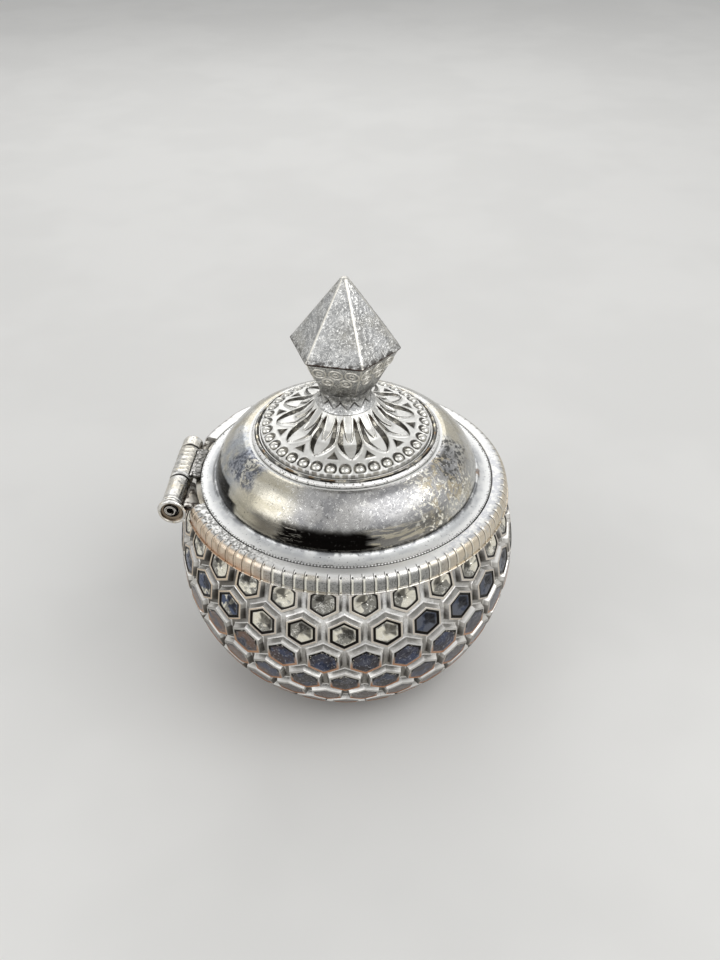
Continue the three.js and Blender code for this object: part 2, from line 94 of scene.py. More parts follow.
# Bowl
mouth_radius = 21.4
rim_radius = 22.55
valley_radius = 25.4
bowl_wall = 1.15
bottom_radius = 13.2
middle_height = bowl_low.z + math.sqrt(valley_radius ** 2 - bottom_radius ** 2)
rim_land = 0.15
pad_height = 1.0
pads_around = 27
pad_turn = math.radians(0.7)
pad_face = 0.68
pad_side_parts = 4
well_rings = 26

# Collar
band_radius = 23.0
collar_radius = 25.0
collar_inner = 23.1
collar_lip = 0.2
collar_tuck = 0.75
ribs_around = 96
groove_half = 0.27
groove_depth = 0.15
crest_bend = 2 / 3.1 # a bend of 1 is round, less is squarer
crest_parts = 12
crest_end = 84 # degrees up the crest, where the flange goes on
flange_inner = 22.32
flange_top = 0.4 # above the seam
flange_seat = 0.2 # the flange's underside, below the seam
tab_inset = 0.05
splice_turn = math.radians(142)
splice_half = math.radians(5)
splice_swell = 0.13
splice_parts = 16

# Hinge
knuckle_radius = (front_high.z - front_low.z) / 2
knuckle_bore = 1.15
ring_lean = 0.4
end_bore = 1.2
round_end = 0.8
round_flat = 0.6
round_parts = 8
pin_radius = 0.95
pin_wall = 0.14
pin_pitch = 0.2
pin_turns = 1.8
pin_parts = 56

# Lid
lid_wall = 0.9
skirt_wall = 0.8
dome_crown = 14.75
dome_bend = 1.26
ring_inner = 12.75
ring_outer = 14.0
ring_bead_inner = 12.98
ring_flange = 13.56

# Medallion
petals = 12
petal_turn = math.radians(9.5)
petal_tip = 10.3
petal_middle = 7.2
petal_half = 1.93
leaf_tip = 7.4
leaf_width = 0.64
beads_around = 36
bead_circle = 11.775
bead_radius = 0.72
bead_socket = 0.95
bead_sink = 0.42 # the ball's middle, below the middle of the ring's height
radial_parts = 90
sector_parts = 72
medallion_wall = 1.2
stud_bore = 1.4

# Neck and knob
neck_foot_radius = 4.4
neck_waist = 3.75
neck_rows = 30
scallops = 12
scallop_parts = 14
knob_turn = math.radians(-7.5)
knob_sides = 6
knob_foot_radius = 4.5
knob_shoulder_radius = 7.7
knob_girdle_radius = 8.05
spire_foot = 7.75
spire_edge = 7.98
dent_depth = 0.08
thread_pitch = 0.3
thread_depth = 0.14
nut_corner = 2.55

# Size of the noise that tears the edges of coats
tear_size = 1.5

# Studio
floor_half = 1200
floor_patch = 60
sky_power = 0.55
seen_sky_power = 0.86
box_middle = 35 # the height that the lamps face
camera_lens = 37.5
camera_turn = math.radians(4.2)
camera_tilt = math.radians(52.3)
camera_place = (2.12, -122.79, 93.21) # from the middle of the seam, before the turn


def smooth(low, high, value):
    """0 below low, 1 above high, with an easy curve between them."""
    share = min(max((value - low) / (high - low), 0.0), 1.0)
    return share * share * (3 - 2 * share)


def between(low, high, share):
    return low + (high - low) * share


def along(table, value):
    """Reads a table of (place, height) pairs, with straight lines between them."""
    for (left, low), (right, high) in zip(table, table[1:]):
        if value <= right:
            return between(low, high, (max(value, left) - left) / (right - left))
    return table[-1][1]


def polar(radius, turn, height=0.0):
    return Vector((radius * math.cos(turn), radius * math.sin(turn), height))


def arc(start, end, parts):
    """The cosine and the sine of evenly spaced angles, from start to end in degrees."""
    turns = [math.radians(between(start, end, part / parts)) for part in range(parts + 1)]
    return [(math.cos(turn), math.sin(turn)) for turn in turns]


def colour(code):
    """A linear colour from an sRGB hex code."""
    parts = [int(code[place:place + 2], 16) / 255 for place in (1, 3, 5)]
    linear = [part / 12.92 if part <= 0.04045 else ((part + 0.055) / 1.055) ** 2.4 for part in parts]
    return (*linear, 1.0)


# Meshes

def as_object(name, bm, sharp=38):
    """Turns a bmesh in millimetres into an object in metres, smooth up to the sharp angle."""
    bmesh.ops.recalc_face_normals(bm, faces=bm.faces)
    bm.transform(Matrix.Scale(mm, 4))
    return placed(name, as_mesh(name, bm), sharp)


def as_mesh(name, bm):
    mesh = bpy.data.meshes.new(name)
    bm.to_mesh(mesh)
    bm.free()
    return mesh


def placed(name, mesh, sharp=38):
    mesh.shade_smooth()
    mesh.set_sharp_from_angle(angle=math.radians(sharp))
    piece = bpy.data.objects.new(name, mesh)
    bpy.context.collection.objects.link(piece)
    return piece


def in_millimetres(*meshes):
    """One bmesh in millimetres from meshes in metres."""
    bm = bmesh.new()
    for mesh in meshes:
        bm.from_mesh(mesh)
    bm.transform(Matrix.Scale(1 / mm, 4))
    return bm


def paint_on(bm, *names):
    """Layers that hold a share for each point."""
    return [bm.verts.layers.float.new(name) for name in names]


def dab(bm, place, layers, shares):
    """Adds a point with its shares of paint."""
    vert = bm.verts.new(place)
    for layer, share in zip(layers, shares):
        vert[layer] = share
    return vert


def skin(bm, rows, closed=True, capped=False):
    """Faces between rows of points. A closed row goes on from its last point to its first."""
    for here, after in zip(rows, rows[1:]):
        if len(here) + len(after) == 2:
            continue
        for place in range(max(len(here), len(after)) - (not closed)):
            beyond = place + 1
            bm.faces.new(dict.fromkeys((
                here[place % len(here)], here[beyond % len(here)],
                after[beyond % len(after)], after[place % len(after)],
            )))
    if capped:
        bm.faces.new(rows[0])
        bm.faces.new(rows[-1])


def rounded(corners):
    """A closed outline whose corners, each (x, y, radius), are turned into small curves."""
    points = []
    for index, (x, y, radius) in enumerate(corners):
        here = Vector((x, y))
        if not radius:
            points.append(here)
            continue
        before = Vector(corners[index - 1][:2]) - here
        after = Vector(corners[(index + 1) % len(corners)][:2]) - here
        reach = min(radius / math.tan(before.angle(after) / 2), before.length / 2, after.length / 2)
        start = here + before.normalized() * reach
        end = here + after.normalized() * reach
        for part in range(corner_parts + 1):
            share = part / corner_parts
            points.append(start.lerp(here, share).lerp(here.lerp(end, share), share))
    return points


def washer(inner, outer, low, high, softs):
    """The outline of a flat ring with four soft corners, from the lower inner one outwards."""
    corners = ((inner, low), (outer, low), (outer, high), (inner, high))
    return rounded([(*corner, soft) for corner, soft in zip(corners, softs)])


def turned_mesh(outline, sides):
    """A closed outline of (radius, height) points turned about the Z axis."""
    bm = bmesh.new()
    rings = [[
        bm.verts.new(polar(radius, full_turn * side / sides, height))
        for side in range(sides if radius > 1e-6 else 1)
    ] for radius, height in outline]
    skin(bm, rings + rings[:1])
    return bm


def turned(name, outline, sides=round_sides, sharp=38):
    return as_object(name, turned_mesh(outline, sides), sharp)


def boundary_loops(bm):
    """The open edges of a mesh, as lists, the lowest loop first."""
    left = {edge for edge in bm.edges if edge.is_boundary}
    loops = []
    while left:
        loop = [left.pop()]
        for edge in loop:
            for other in [other for vert in edge.verts for other in vert.link_edges]:
                if other in left:
                    left.remove(other)
                    loop.append(other)
        loops.append(loop)
    return sorted(loops, key=lambda loop: sum(edge.verts[0].co.z for edge in loop) / len(loop))


def extended(bm, loop, rings):
    """Carries an open edge on through rings of (radius, height) and gives the last edge."""
    for radius, height in rings:
        grown = bmesh.ops.extrude_edge_only(bm, edges=loop)["geom"]
        loop = [part for part in grown if isinstance(part, bmesh.types.BMEdge) and part.is_boundary]
        for vert in {vert for edge in loop for vert in edge.verts}:
            vert.co = polar(radius, math.atan2(vert.co.y, vert.co.x), height)
    return loop


def hexagon(corner_radius, parts, turn, roundness=0.0):
    """Points on a hexagon's sides. A roundness of 1 gives a circle."""
    points = []
    flat_radius = corner_radius * math.cos(math.pi / 6)
    for side in range(6):
        first, second = (polar(corner_radius, turn + (side + end) * math.pi / 3).xy for end in (0, 1))
        for part in range(parts):
            straight = first.lerp(second, part / parts)
            points.append(straight.lerp(straight.normalized() * flat_radius, roundness))
    return points


# Repeats, made with Geometry Nodes

def add(tree, kind, inputs=None, **settings):
    """Adds a node, sets what it needs and fills or links its inputs."""
    made = tree.nodes.new(kind)
    for key, value in settings.items():
        setattr(made, key, value)
    for key, value in (inputs or {}).items():
        if isinstance(value, bpy.types.NodeSocket):
            tree.links.new(value, made.inputs[key])
        else:
            made.inputs[key].default_value = value
    return made


def worked_out(tree, known, steps):
    """Adds sums, each (name, operation, values). A value may be the name of an earlier result."""
    for name, operation, *values in steps:
        sources = {
            place: known[value] if isinstance(value, str) else value
            for place, value in enumerate(values)
        }
        known[name] = add(tree, "ShaderNodeMath", sources, operation=operation).outputs[0]
    return known


def repeat_tree(name, counts, sizes):
    """The start of a tree that repeats a piece: its inputs and each copy's number."""
    tree = bpy.data.node_groups.new(name, "GeometryNodeTree")
    tree.interface.new_socket("Geometry", in_out="OUTPUT", socket_type="NodeSocketGeometry")
    kinds = {
        "Piece": "Object", "Material": "Material", "Merge": "Float",
        **dict.fromkeys(counts, "Int"), **dict.fromkeys(sizes, "Float"),
    }
    for socket, kind in kinds.items():
        tree.interface.new_socket(socket, in_out="INPUT", socket_type="NodeSocket" + kind)
    known = dict(tree.nodes.new("NodeGroupInput").outputs.items())
    known["index"] = add(tree, "GeometryNodeInputIndex").outputs[0]
    return tree, known


def copies(tree, known, points, **more):
    """A copy of the piece on each point, made real."""
    piece = add(tree, "GeometryNodeObjectInfo", {"Object": known["Piece"]})
    spread = add(tree, "GeometryNodeInstanceOnPoints", {
        "Points": points, "Instance": piece.outputs["Geometry"], **more,
    })
    return add(tree, "GeometryNodeRealizeInstances", {0: spread.outputs[0]}).outputs[0]


def finished(tree, known, geometry):
    """The end of a tree: doubles merged, material set."""
    merged = add(tree, "GeometryNodeMergeByDistance", {"Geometry": geometry, "Distance": known["Merge"]})
    dressed = add(tree, "GeometryNodeSetMaterial", {
        "Geometry": merged.outputs[0], "Material": known["Material"],
    })
    add(tree, "NodeGroupOutput", {0: dressed.outputs[0]})
    return tree


def ring_tree():
    """Copies of one piece around the Z axis."""
    tree, known = repeat_tree("around_the_axis", ("Count",), ("Start", "Pitch"))
    points = add(tree, "GeometryNodePoints", {"Count": known["Count"]})
    worked_out(tree, known, (("turn", "MULTIPLY_ADD", "index", "Pitch", "Start"),))
    rotation = add(tree, "ShaderNodeCombineXYZ", {"Z": known["turn"]})
    return finished(tree, known, copies(tree, known, points.outputs[0], Rotation=rotation.outputs[0]))


def pad_tree():
    """Rows of six-sided cells, laid out flat and then wrapped around the bowl."""
    tree, known = repeat_tree("rows_of_pads", ("Around", "Rows"), (
        "Step", "Row climb", "First climb", "Turn", "Radius", "Middle height", "Flat merge",
    ))
    worked_out(tree, known, (
        ("count", "MULTIPLY", "Around", "Rows"),
        ("rows past", "DIVIDE", "index", "Around"),
        ("row", "FLOOR", "rows past"),
        ("before", "MULTIPLY", "row", "Around"),
        ("column", "SUBTRACT", "index", "before"),
        ("odd", "MODULO", "row", 2.0),
        ("shifted", "MULTIPLY_ADD", "column", 2.0, "odd"),
        ("across", "MULTIPLY", "shifted", "Step"),
        ("drop", "MULTIPLY", "row", "Row climb"),
        ("climb", "SUBTRACT", "First climb", "drop"),
    ))
    points = add(tree, "GeometryNodePoints", {"Count": known["count"]})
    place = add(tree, "ShaderNodeCombineXYZ", {"X": known["across"], "Y": known["climb"]})
    cells = add(tree, "GeometryNodeSetPosition", {
        "Geometry": points.outputs[0], "Position": place.outputs[0],
    })
    tone = add(tree, "FunctionNodeRandomValue", {"ID": known["index"], "Seed": 0}, data_type="FLOAT")
    toned = add(tree, "GeometryNodeStoreNamedAttribute", {
        "Geometry": cells.outputs[0], "Name": "pad_tone", "Value": tone.outputs[1],
    }, data_type="FLOAT", domain="POINT")
    flat = add(tree, "GeometryNodeMergeByDistance", {
        "Geometry": copies(tree, known, toned.outputs[0]), "Distance": known["Flat merge"],
    })
    spot = add(tree, "ShaderNodeSeparateXYZ", {0: add(tree, "GeometryNodeInputPosition").outputs[0]})
    known.update(spot.outputs.items())
    worked_out(tree, known, (
        ("turn", "ADD", "X", "Turn"),
        ("radius", "ADD", "Z", "Radius"),
        ("narrowing", "COSH", "Y"),
        ("ring", "DIVIDE", "radius", "narrowing"),
        ("cosine", "COSINE", "turn"),
        ("sine", "SINE", "turn"),
        ("x", "MULTIPLY", "ring", "cosine"),
        ("y", "MULTIPLY", "ring", "sine"),
        ("rise", "TANH", "Y"),
        ("z", "MULTIPLY_ADD", "radius", "rise", "Middle height"),
    ))
    wrapped = add(tree, "ShaderNodeCombineXYZ", {axis.upper(): known[axis] for axis in "xyz"})
    sphere = add(tree, "GeometryNodeSetPosition", {
        "Geometry": flat.outputs[0], "Position": wrapped.outputs[0],
    })
    return finished(tree, known, sphere.outputs[0])


def baked(tree, values):
    """Runs a tree once and gives its plain mesh. The piece that it copied is thrown away."""
    holder = bpy.data.objects.new("holder", bpy.data.meshes.new("holder"))
    bpy.context.collection.objects.link(holder)
    modifier = holder.modifiers.new("repeat", "NODES")
    modifier.node_group = tree
    for item in tree.interface.items_tree:
        if item.in_out == "INPUT" and item.name in values:
            modifier[item.identifier] = values[item.name]
    graph = bpy.context.evaluated_depsgraph_get()
    mesh = bpy.data.meshes.new_from_object(holder.evaluated_get(graph), depsgraph=graph)
    holder.modifiers.remove(modifier)
    bpy.data.objects.remove(holder)
    bpy.data.objects.remove(values["Piece"])
    return mesh


around_tree = ring_tree()
merge_gap = 0.0005 * mm


def around(piece, count, start, pitch, material):
    return baked(around_tree, {
        "Piece": piece, "Count": count, "Start": start, "Pitch": pitch, "Merge": merge_gap,
        "Material": material,
    })


# Materials, each for how the real surface was made. A socket's id_data is the tree that it is in.

def shader_tree(owner):
    """The empty node tree of a material or a world."""
    owner.use_nodes = True
    owner.node_tree.nodes.clear()
    return owner.node_tree


def product(tree, shares):
    """Shares multiplied with each other."""
    whole = shares[0]
    for share in shares[1:]:
        whole = add(tree, "ShaderNodeMath", {0: whole, 1: share}, operation="MULTIPLY").outputs[0]
    return whole


def window(value, low, full, fade=None, high=None):
    """0 at low and 1 at full, whichever of them is higher, and 0 again from fade to high."""
    tree = value.id_data
    slopes = [(low, full)] if fade is None else [(low, full), (high, fade)]
    return product(tree, [add(tree, "ShaderNodeMapRange", {
        "Value": value, "From Min": at_none, "From Max": at_all,
    }, interpolation_type="SMOOTHSTEP").outputs[0] for at_none, at_all in slopes])


def spots(place, size, low, high, detail=3.0, bend=0.0):
    """Soft patches of about the given size, 0 where the noise is under low, 1 over high."""
    cloud = add(place.id_data, "ShaderNodeTexNoise", {
        "Vector": place, "Scale": 1 / size, "Detail": detail, "Roughness": 0.6, "Distortion": bend,
    })
    return window(cloud.outputs["Fac"], low, high)


def worms(place, size, width, low, high):
    """Short curling marks, where a noise crosses its middle value, in patches."""
    cloud = add(place.id_data, "ShaderNodeTexNoise", {
        "Vector": place, "Scale": 1 / size, "Detail": 1.5, "Roughness": 0.5, "Distortion": 0.8,
    })
    known = {"cloud": cloud.outputs["Fac"], "patch": spots(place, size * 1.3, low, high, 1.0)}
    return worked_out(place.id_data, known, (
        ("off", "SUBTRACT", "cloud", 0.5),
        ("away", "ABSOLUTE", "off"),
        ("near", "DIVIDE", "away", width),
        ("mark", "SUBTRACT", 1.0, "near"),
        ("clear", "MAXIMUM", "mark", 0.0),
        ("share", "MULTIPLY", "clear", "patch"),
    ))["share"]


def known_place(place, size):
    """A point laid flat, and what is known of it: its height up, and a noise around 0 to tear
    edges with."""
    tree = place.id_data
    flat = add(tree, "ShaderNodeVectorMath", {0: place, 1: (1, 1, 0)}, operation="MULTIPLY")
    cloud = add(tree, "ShaderNodeTexNoise", {"Vector": place, "Scale": 1 / size, "Detail": 4.0})
    return flat.outputs[0], worked_out(tree, {
        "up": add(tree, "ShaderNodeSeparateXYZ", {0: place}).outputs["Z"], "cloud": cloud.outputs["Fac"],
    }, (("tear", "SUBTRACT", "cloud", 0.5),))


def sector(place, azimuth, near, far, ragged=0.0):
    """1 within near degrees of a direction around the Z axis, 0 beyond far, with a torn edge."""
    tree = place.id_data
    flat, known = known_place(place, tear_size)
    unit = add(tree, "ShaderNodeVectorMath", {0: flat}, operation="NORMALIZE")
    known["facing"] = add(tree, "ShaderNodeVectorMath", {
        0: unit.outputs[0], 1: polar(1.0, math.radians(azimuth)),
    }, operation="DOT_PRODUCT").outputs["Value"]
    worked_out(tree, known, (
        ("turned", "ARCCOSINE", "facing"),
        ("torn", "MULTIPLY_ADD", "tear", math.radians(ragged) * 2, "turned"),
    ))
    return window(known["torn"], math.radians(far), math.radians(near))


def measured(place, ragged, size):
    """How far a point is from the Z axis, and its height, both a little uneven."""
    tree = place.id_data
    flat, known = known_place(place, size)
    known["out"] = add(tree, "ShaderNodeVectorMath", {0: flat}, operation="LENGTH").outputs["Value"]
    worked_out(tree, known, (
        ("radius", "MULTIPLY_ADD", "tear", ragged * 2, "out"),
        ("height", "MULTIPLY_ADD", "tear", ragged * 2, "up"),
    ))
    return known["radius"], known["height"]


def beading(place, count):
    """Dots all around the Z axis."""
    spot = add(place.id_data, "ShaderNodeSeparateXYZ", {0: place})
    known = worked_out(place.id_data, dict(spot.outputs.items()), (
        ("turn", "ARCTAN2", "Y", "X"),
        ("wave", "MULTIPLY", "turn", float(count)),
        ("height", "SINE", "wave"),
    ))
    return window(known["height"], -0.5, 0.3)


def written(place, *names):
    """Shares that were written on the mesh's points."""
    return [
        add(place.id_data, "ShaderNodeAttribute", attribute_name=name).outputs["Fac"] for name in names
    ]


def laid_over(tree, shade, rough, coats):
    """Lays coats over a colour and a roughness, each (colour, roughness, shares to multiply)."""
    for code, dullness, shares in coats:
        share = product(tree, shares)
        tinted = add(tree, "ShaderNodeMix", {0: share, 6: shade, 7: colour(code)}, data_type="RGBA")
        dulled = add(tree, "ShaderNodeMix", {0: share, 2: rough, 3: dullness})
        shade, rough = tinted.outputs[2], dulled.outputs[0]
    return shade, rough


def silver_plate(name, clean, warm, gloss, coats=None, dirt=("#35322d", 0.6), recess=0.8,
                 grain=0.12, grain_size=0.25, scratches=0.4, pits=0.0):
    """Silver plated on brass: bright where it is polished, white where it was blasted or
    pickled, brown-black in the corners, as tarnish that a cloth doesn't reach and as painted shade."""
    material = bpy.data.materials.new(name)
    tree = shader_tree(material)
    coords = add(tree, "ShaderNodeTexCoord").outputs["Object"]
    place = add(tree, "ShaderNodeMapping", {"Vector": coords, "Scale": (1 / mm,) * 3}).outputs[0]

    # Clean metal with a warm bloom, cloudy polish, then the coats
    shade = add(tree, "ShaderNodeMix", {
        0: spots(place, 5.0, 0.42, 0.62), 6: colour(clean), 7: colour(warm),
    }, data_type="RGBA").outputs[2]
    rough = add(tree, "ShaderNodeMix", {
        0: spots(place, 1.6, 0.35, 0.7, 5.0), 2: gloss[0], 3: gloss[1],
    }).outputs[0]
    if coats:
        shade, rough = laid_over(tree, shade, rough, coats(place))

    # Tarnish and painted shade in the recesses, found by ambient occlusion
    hollow = add(tree, "ShaderNodeAmbientOcclusion", {"Distance": recess * mm}, samples=6)
    grimy = window(hollow.outputs["AO"], 0.8, 0.3)
    speckle = spots(place, 0.35, 0.3, 0.62, 4.0)
    shade, rough = laid_over(tree, shade, rough, [(dirt[0], 0.55, [grimy, speckle, dirt[1]])])

    # Relief that is too fine for the mesh: grain, hairlines and pits
    fine = add(tree, "ShaderNodeTexNoise", {
        "Vector": place, "Scale": 1 / grain_size, "Detail": 4.0, "Roughness": 0.7,
    })
    normal = add(tree, "ShaderNodeBump", {
        "Strength": grain, "Distance": 0.05 * mm, "Height": fine.outputs["Fac"],
    }).outputs[0]
    if scratches:
        drift = add(tree, "ShaderNodeTexNoise", {"Vector": place, "Scale": 1 / 3.0, "Detail": 2.0})
        bent = add(tree, "ShaderNodeVectorMath", {
            0: place, 1: drift.outputs["Color"], 2: (2.5, 2.5, 2.5),
        }, operation="MULTIPLY_ADD")
        lines = add(tree, "ShaderNodeTexVoronoi", {
            "Vector": bent.outputs[0], "Scale": 1 / 1.1,
        }, feature="DISTANCE_TO_EDGE")
        cut = add(tree, "ShaderNodeMapRange", {
            "Value": lines.outputs["Distance"], "From Min": 0.0, "From Max": 0.035,
        })
        normal = add(tree, "ShaderNodeBump", {
            "Strength": scratches, "Distance": 0.02 * mm, "Height": cut.outputs[0], "Normal": normal,
        }).outputs[0]
    if pits:
        dots = add(tree, "ShaderNodeTexVoronoi", {"Vector": place, "Scale": 1 / 0.55})
        holes = window(dots.outputs["Distance"], 0.2, 0.12)
        some = spots(place, 3.0, 0.5, 0.6)
        shade, rough = laid_over(tree, shade, rough, [(dirt[0], 0.5, [holes, some, pits])])
        normal = add(tree, "ShaderNodeBump", {
            "Strength": pits, "Distance": 0.05 * mm, "Height": holes, "Normal": normal,
        }, invert=True).outputs[0]

    metal = add(tree, "ShaderNodeBsdfPrincipled", {
        "Base Color": shade, "Metallic": 1.0, "Roughness": rough, "Normal": normal,
    })
    add(tree, "ShaderNodeOutputMaterial", {"Surface": metal.outputs[0]})
    return material


def pad_coats(place):
    """Frosted valleys with painted shade, darker on the lower half, the low rows, the sides and the
    lower walls, and a painted highlight on the upper walls; mirror faces and dishes painted with
    the blue-grey, grey and brown reflections of dark surroundings, browner on the low rows; the
    plate worn to copper on the lower edges, and a painted shadow along the upper ones."""
    frost, soot, copper, face, dish, shade, tone = written(
        place, "frost", "soot", "copper", "pad_face", "pad_dish", "shade", "pad_tone")
    height = add(place.id_data, "ShaderNodeSeparateXYZ", {0: place}).outputs["Z"]
    low_rows = window(height, middle_height - 7.4, middle_height - 13.9)
    lower_half = window(height, middle_height + 6.1, middle_height - 4.9)
    second_row = window(
        height, middle_height - 0.9, middle_height + 0.1, middle_height + 5.6, middle_height + 5.85)
    left = sector(place, 205, 30, 55)
    nibs = spots(place, 0.4, 0.58, 0.62, 3.0)
    return [
        ("#f7f6f4", 0.36, [frost]),
        ("#bcb9b4", 0.42, [frost, spots(place, 2.4, 0.44, 0.62), 0.7]),
        # Painted shade: the frost darker on the lower half, on the low rows and at both sides
        ("#88847d", 0.42, [frost, lower_half, 0.9]),
        ("#625e57", 0.42, [frost, low_rows, 0.85]),
        ("#625d56", 0.42, [frost, sector(place, 198, 30, 66), 0.9]),
        ("#918d87", 0.42, [frost, sector(place, 352, 25, 55), 0.75]),
        # Painted shade on the lower walls, and a painted highlight on the upper ones
        ("#413d38", 0.4, [frost, shade]),
        ("#f4f2ee", 0.34, [frost, window(shade, -0.15, -0.55), 0.9]),
        # Painted reflections on the mirror faces: the blue-grey, grey and brown of dark surroundings,
        # varied from cell to cell, darker on the lower half, browner on the low rows and the left, with
        # light curling marks
        ("#4a5065", 0.12, [face]),
        ("#5b5b60", 0.16, [face, window(tone, 0.3, 0.6)]),
        ("#2c3346", 0.1, [face, spots(place, 1.6, 0.49, 0.6), 0.9]),
        ("#a9a8a6", 0.16, [face, window(tone, 0.6, 0.9), spots(place, 1.3, 0.52, 0.6, 3.0, 0.5)]),
        ("#47413d", 0.2, [face, lower_half, spots(place, 2.2, 0.4, 0.54), 0.8]),
        ("#5d493b", 0.22, [face, low_rows, spots(place, 2.6, 0.36, 0.5)]),
        ("#806656", 0.22, [face, left, spots(place, 2.2, 0.46, 0.52), 0.8]),
        ("#d4d7de", 0.25, [face, worms(place, 0.3, 0.03, 0.52, 0.6), 0.9]),
        # Painted reflections in the dishes: grey, with cream patches and light marks, and blue-grey at the
        # sides of the second row
        ("#94928b", 0.12, [dish]),
        ("#f1ecdc", 0.14, [dish, spots(place, 2.6, 0.49, 0.53, 1.0, 0.4)]),
        ("#fbf9f2", 0.14, [dish, worms(place, 0.6, 0.05, 0.46, 0.52)]),
        ("#3b455c", 0.12, [dish, second_row, sector(place, 325, 28, 30), 0.9]),
        ("#566078", 0.12, [dish, second_row, sector(place, 210, 28, 30), spots(place, 2.0, 0.42, 0.5)]),
        ("#d9c1a2", 0.25, [copper, left]),
        ("#b07a52", 0.25, [copper, lower_half]),
        ("#d6c3aa", 0.25, [copper, window(height, middle_height - 4.9, middle_height + 6.1), 0.6]),
        # Dark paint: a painted shadow under the upper bevel of the flat pads, painted shade and dark
        # reflection in the hollow ones, broken by light nibs
        ("#1d1a18", 0.3, [soot]),
        ("#e9e2d2", 0.2, [soot, face, nibs, 0.9]),
    ]


def collar_coats(place):
    """Grey speckled ribs with grooves painted bright as highlights in front, cream and brown ribs at
    the sides, a painted shadow line beside each groove and painted shade at the grooves' tops.
    """
    groove, line = written(place, "groove", "line")
    radius, height = measured(place, 0.05, 0.3)
    front = sector(place, 274, 32, 50)
    left = sector(place, 212, 24, 42)
    right = sector(place, 345, 25, 45)
    foot = collar_low.z
    side = window(radius, collar_radius - 1.1, collar_radius - 0.7)
    top = window(radius, collar_radius - 0.8, collar_radius - 1.2)
    ribs = window(height, foot + 0.16, foot + 0.56, foot + 1.76, foot + 2.26)
    grooves = window(height, foot - 0.14, foot + 0.06, foot + 2.16, foot + 2.31)
    groove_tops = window(height, foot + 2.26, foot + 2.34, foot + 2.46, foot + 2.56)
    speckle = spots(place, 0.22, 0.47, 0.6, 3.0)
    return [
        ("#e4e3e0", 0.4, [top]),
        ("#8b8a87", 0.4, [top, left, spots(place, 0.7, 0.42, 0.56, 4.0), 0.9]),
        ("#4b4a47", 0.4, [top, left, spots(place, 0.35, 0.55, 0.6, 3.0), 0.8]),
        ("#b4b5b9", 0.3, [top, right, spots(place, 0.9, 0.42, 0.55), 0.8]),
        ("#9c9c9a", 0.32, [side, front, ribs, 0.9]),
        ("#6a6a68", 0.35, [side, front, speckle, ribs, 0.85]),
        ("#dccab4", 0.25, [side, left, 0.9]),
        ("#a9927a", 0.28, [side, left, spots(place, 1.6, 0.46, 0.56), 0.5]),
        ("#d8cab3", 0.25, [side, right, spots(place, 2.6, 0.36, 0.52), 0.8]),
        ("#b98b6a", 0.3, [side, left, window(height, foot + 1.66, foot + 0.46), 0.45]),
        # Painted highlights in the grooves, bright in front and at the right and cream at the left, with
        # painted shade at their tops in front and a painted shadow line beside each
        ("#fffdf4", 0.4, [groove, front, grooves]),
        ("#1f1c19", 0.4, [groove, front, groove_tops]),
        ("#24201c", 0.4, [line]),
        ("#cdbba6", 0.3, [groove, left, 0.8]),
        ("#f6f1e4", 0.3, [groove, right]),
        ("#7c6248", 0.4, [side, window(height, foot + 0.18, foot + 0.06), 0.7]),
    ]


def hinge_coats(place):
    """Polished tubes, with soot and cream in their worked rings and brown in the end ring."""
    joint, rust = written(place, "joint", "rust")
    return [
        ("#b3b2af", 0.26, [spots(place, 1.6, 0.5, 0.62, 2.0), 0.7]),
        ("#5d5c58", 0.3, [spots(place, 0.5, 0.61, 0.65, 2.0, 0.6), 0.8]),
        ("#dccfb2", 0.24, [spots(place, 1.4, 0.57, 0.65), 0.6]),
        ("#2b251f", 0.4, [joint, 0.8]),
        ("#897c6c", 0.35, [rust]),
    ]


def bracket_coats(place):
    """Silver worn through to brown at the solder."""
    height = add(place.id_data, "ShaderNodeSeparateXYZ", {0: place}).outputs["Z"]
    solder = window(height, tab_low.z + 0.56, tab_low.z - 0.04)
    return [
        ("#57504a", 0.45, [spots(place, 0.6, 0.47, 0.58, 4.0)]),
        ("#7a5233", 0.45, [solder, spots(place, 1.2, 0.38, 0.5)]),
    ]


def leaf_coats(place):
    """Dull and sooty, with short bright marks."""
    return [
        ("#8f8d89", 0.35, [0.9]),
        ("#3f3d3a", 0.4, [spots(place, 0.6, 0.47, 0.53, 4.0, 0.4), 0.9]),
        ("#eceae6", 0.3, [worms(place, 0.5, 0.05, 0.44, 0.5)]),
    ]


def rim_coats(place):
    """Blasted white, with painted shade greying it next to the dome, and small pits near its milled edge.
    """
    radius = measured(place, 0.12, 0.8)[0]
    foot = window(radius, dome_high.x + 0.7, dome_high.x + 0.25)
    outer = rim_high.x
    edge = window(radius, outer - 0.45, outer - 0.3, outer - 0.16, outer - 0.08)
    milled = window(radius, outer - 0.22, outer - 0.15)
    inner = window(radius, dome_high.x + 1.6, dome_high.x + 1.0)
    return [
        ("#e4e4e2", 0.45, [1.0]),
        # Painted shade: the frost greyer next to the dome
        ("#b3b5b8", 0.42, [inner, spots(place, 3.5, 0.36, 0.6), 0.6]),
        ("#8b8c8e", 0.4, [foot, spots(place, 1.4, 0.4, 0.55)]),
        ("#3a3835", 0.5, [edge, spots(place, 0.3, 0.56, 0.62, 3.0)]),
        ("#2c2a27", 0.5, [spots(place, 0.28, 0.66, 0.7, 2.0), 0.8]),
        ("#4c4a46", 0.5, [milled, beading(place, 300), 0.8]),
        ("#8a6a4c", 0.4, [sector(place, 0, 1.0, 2.6, 3.0), foot, spots(place, 1.0, 0.4, 0.5), 0.7]),
    ]


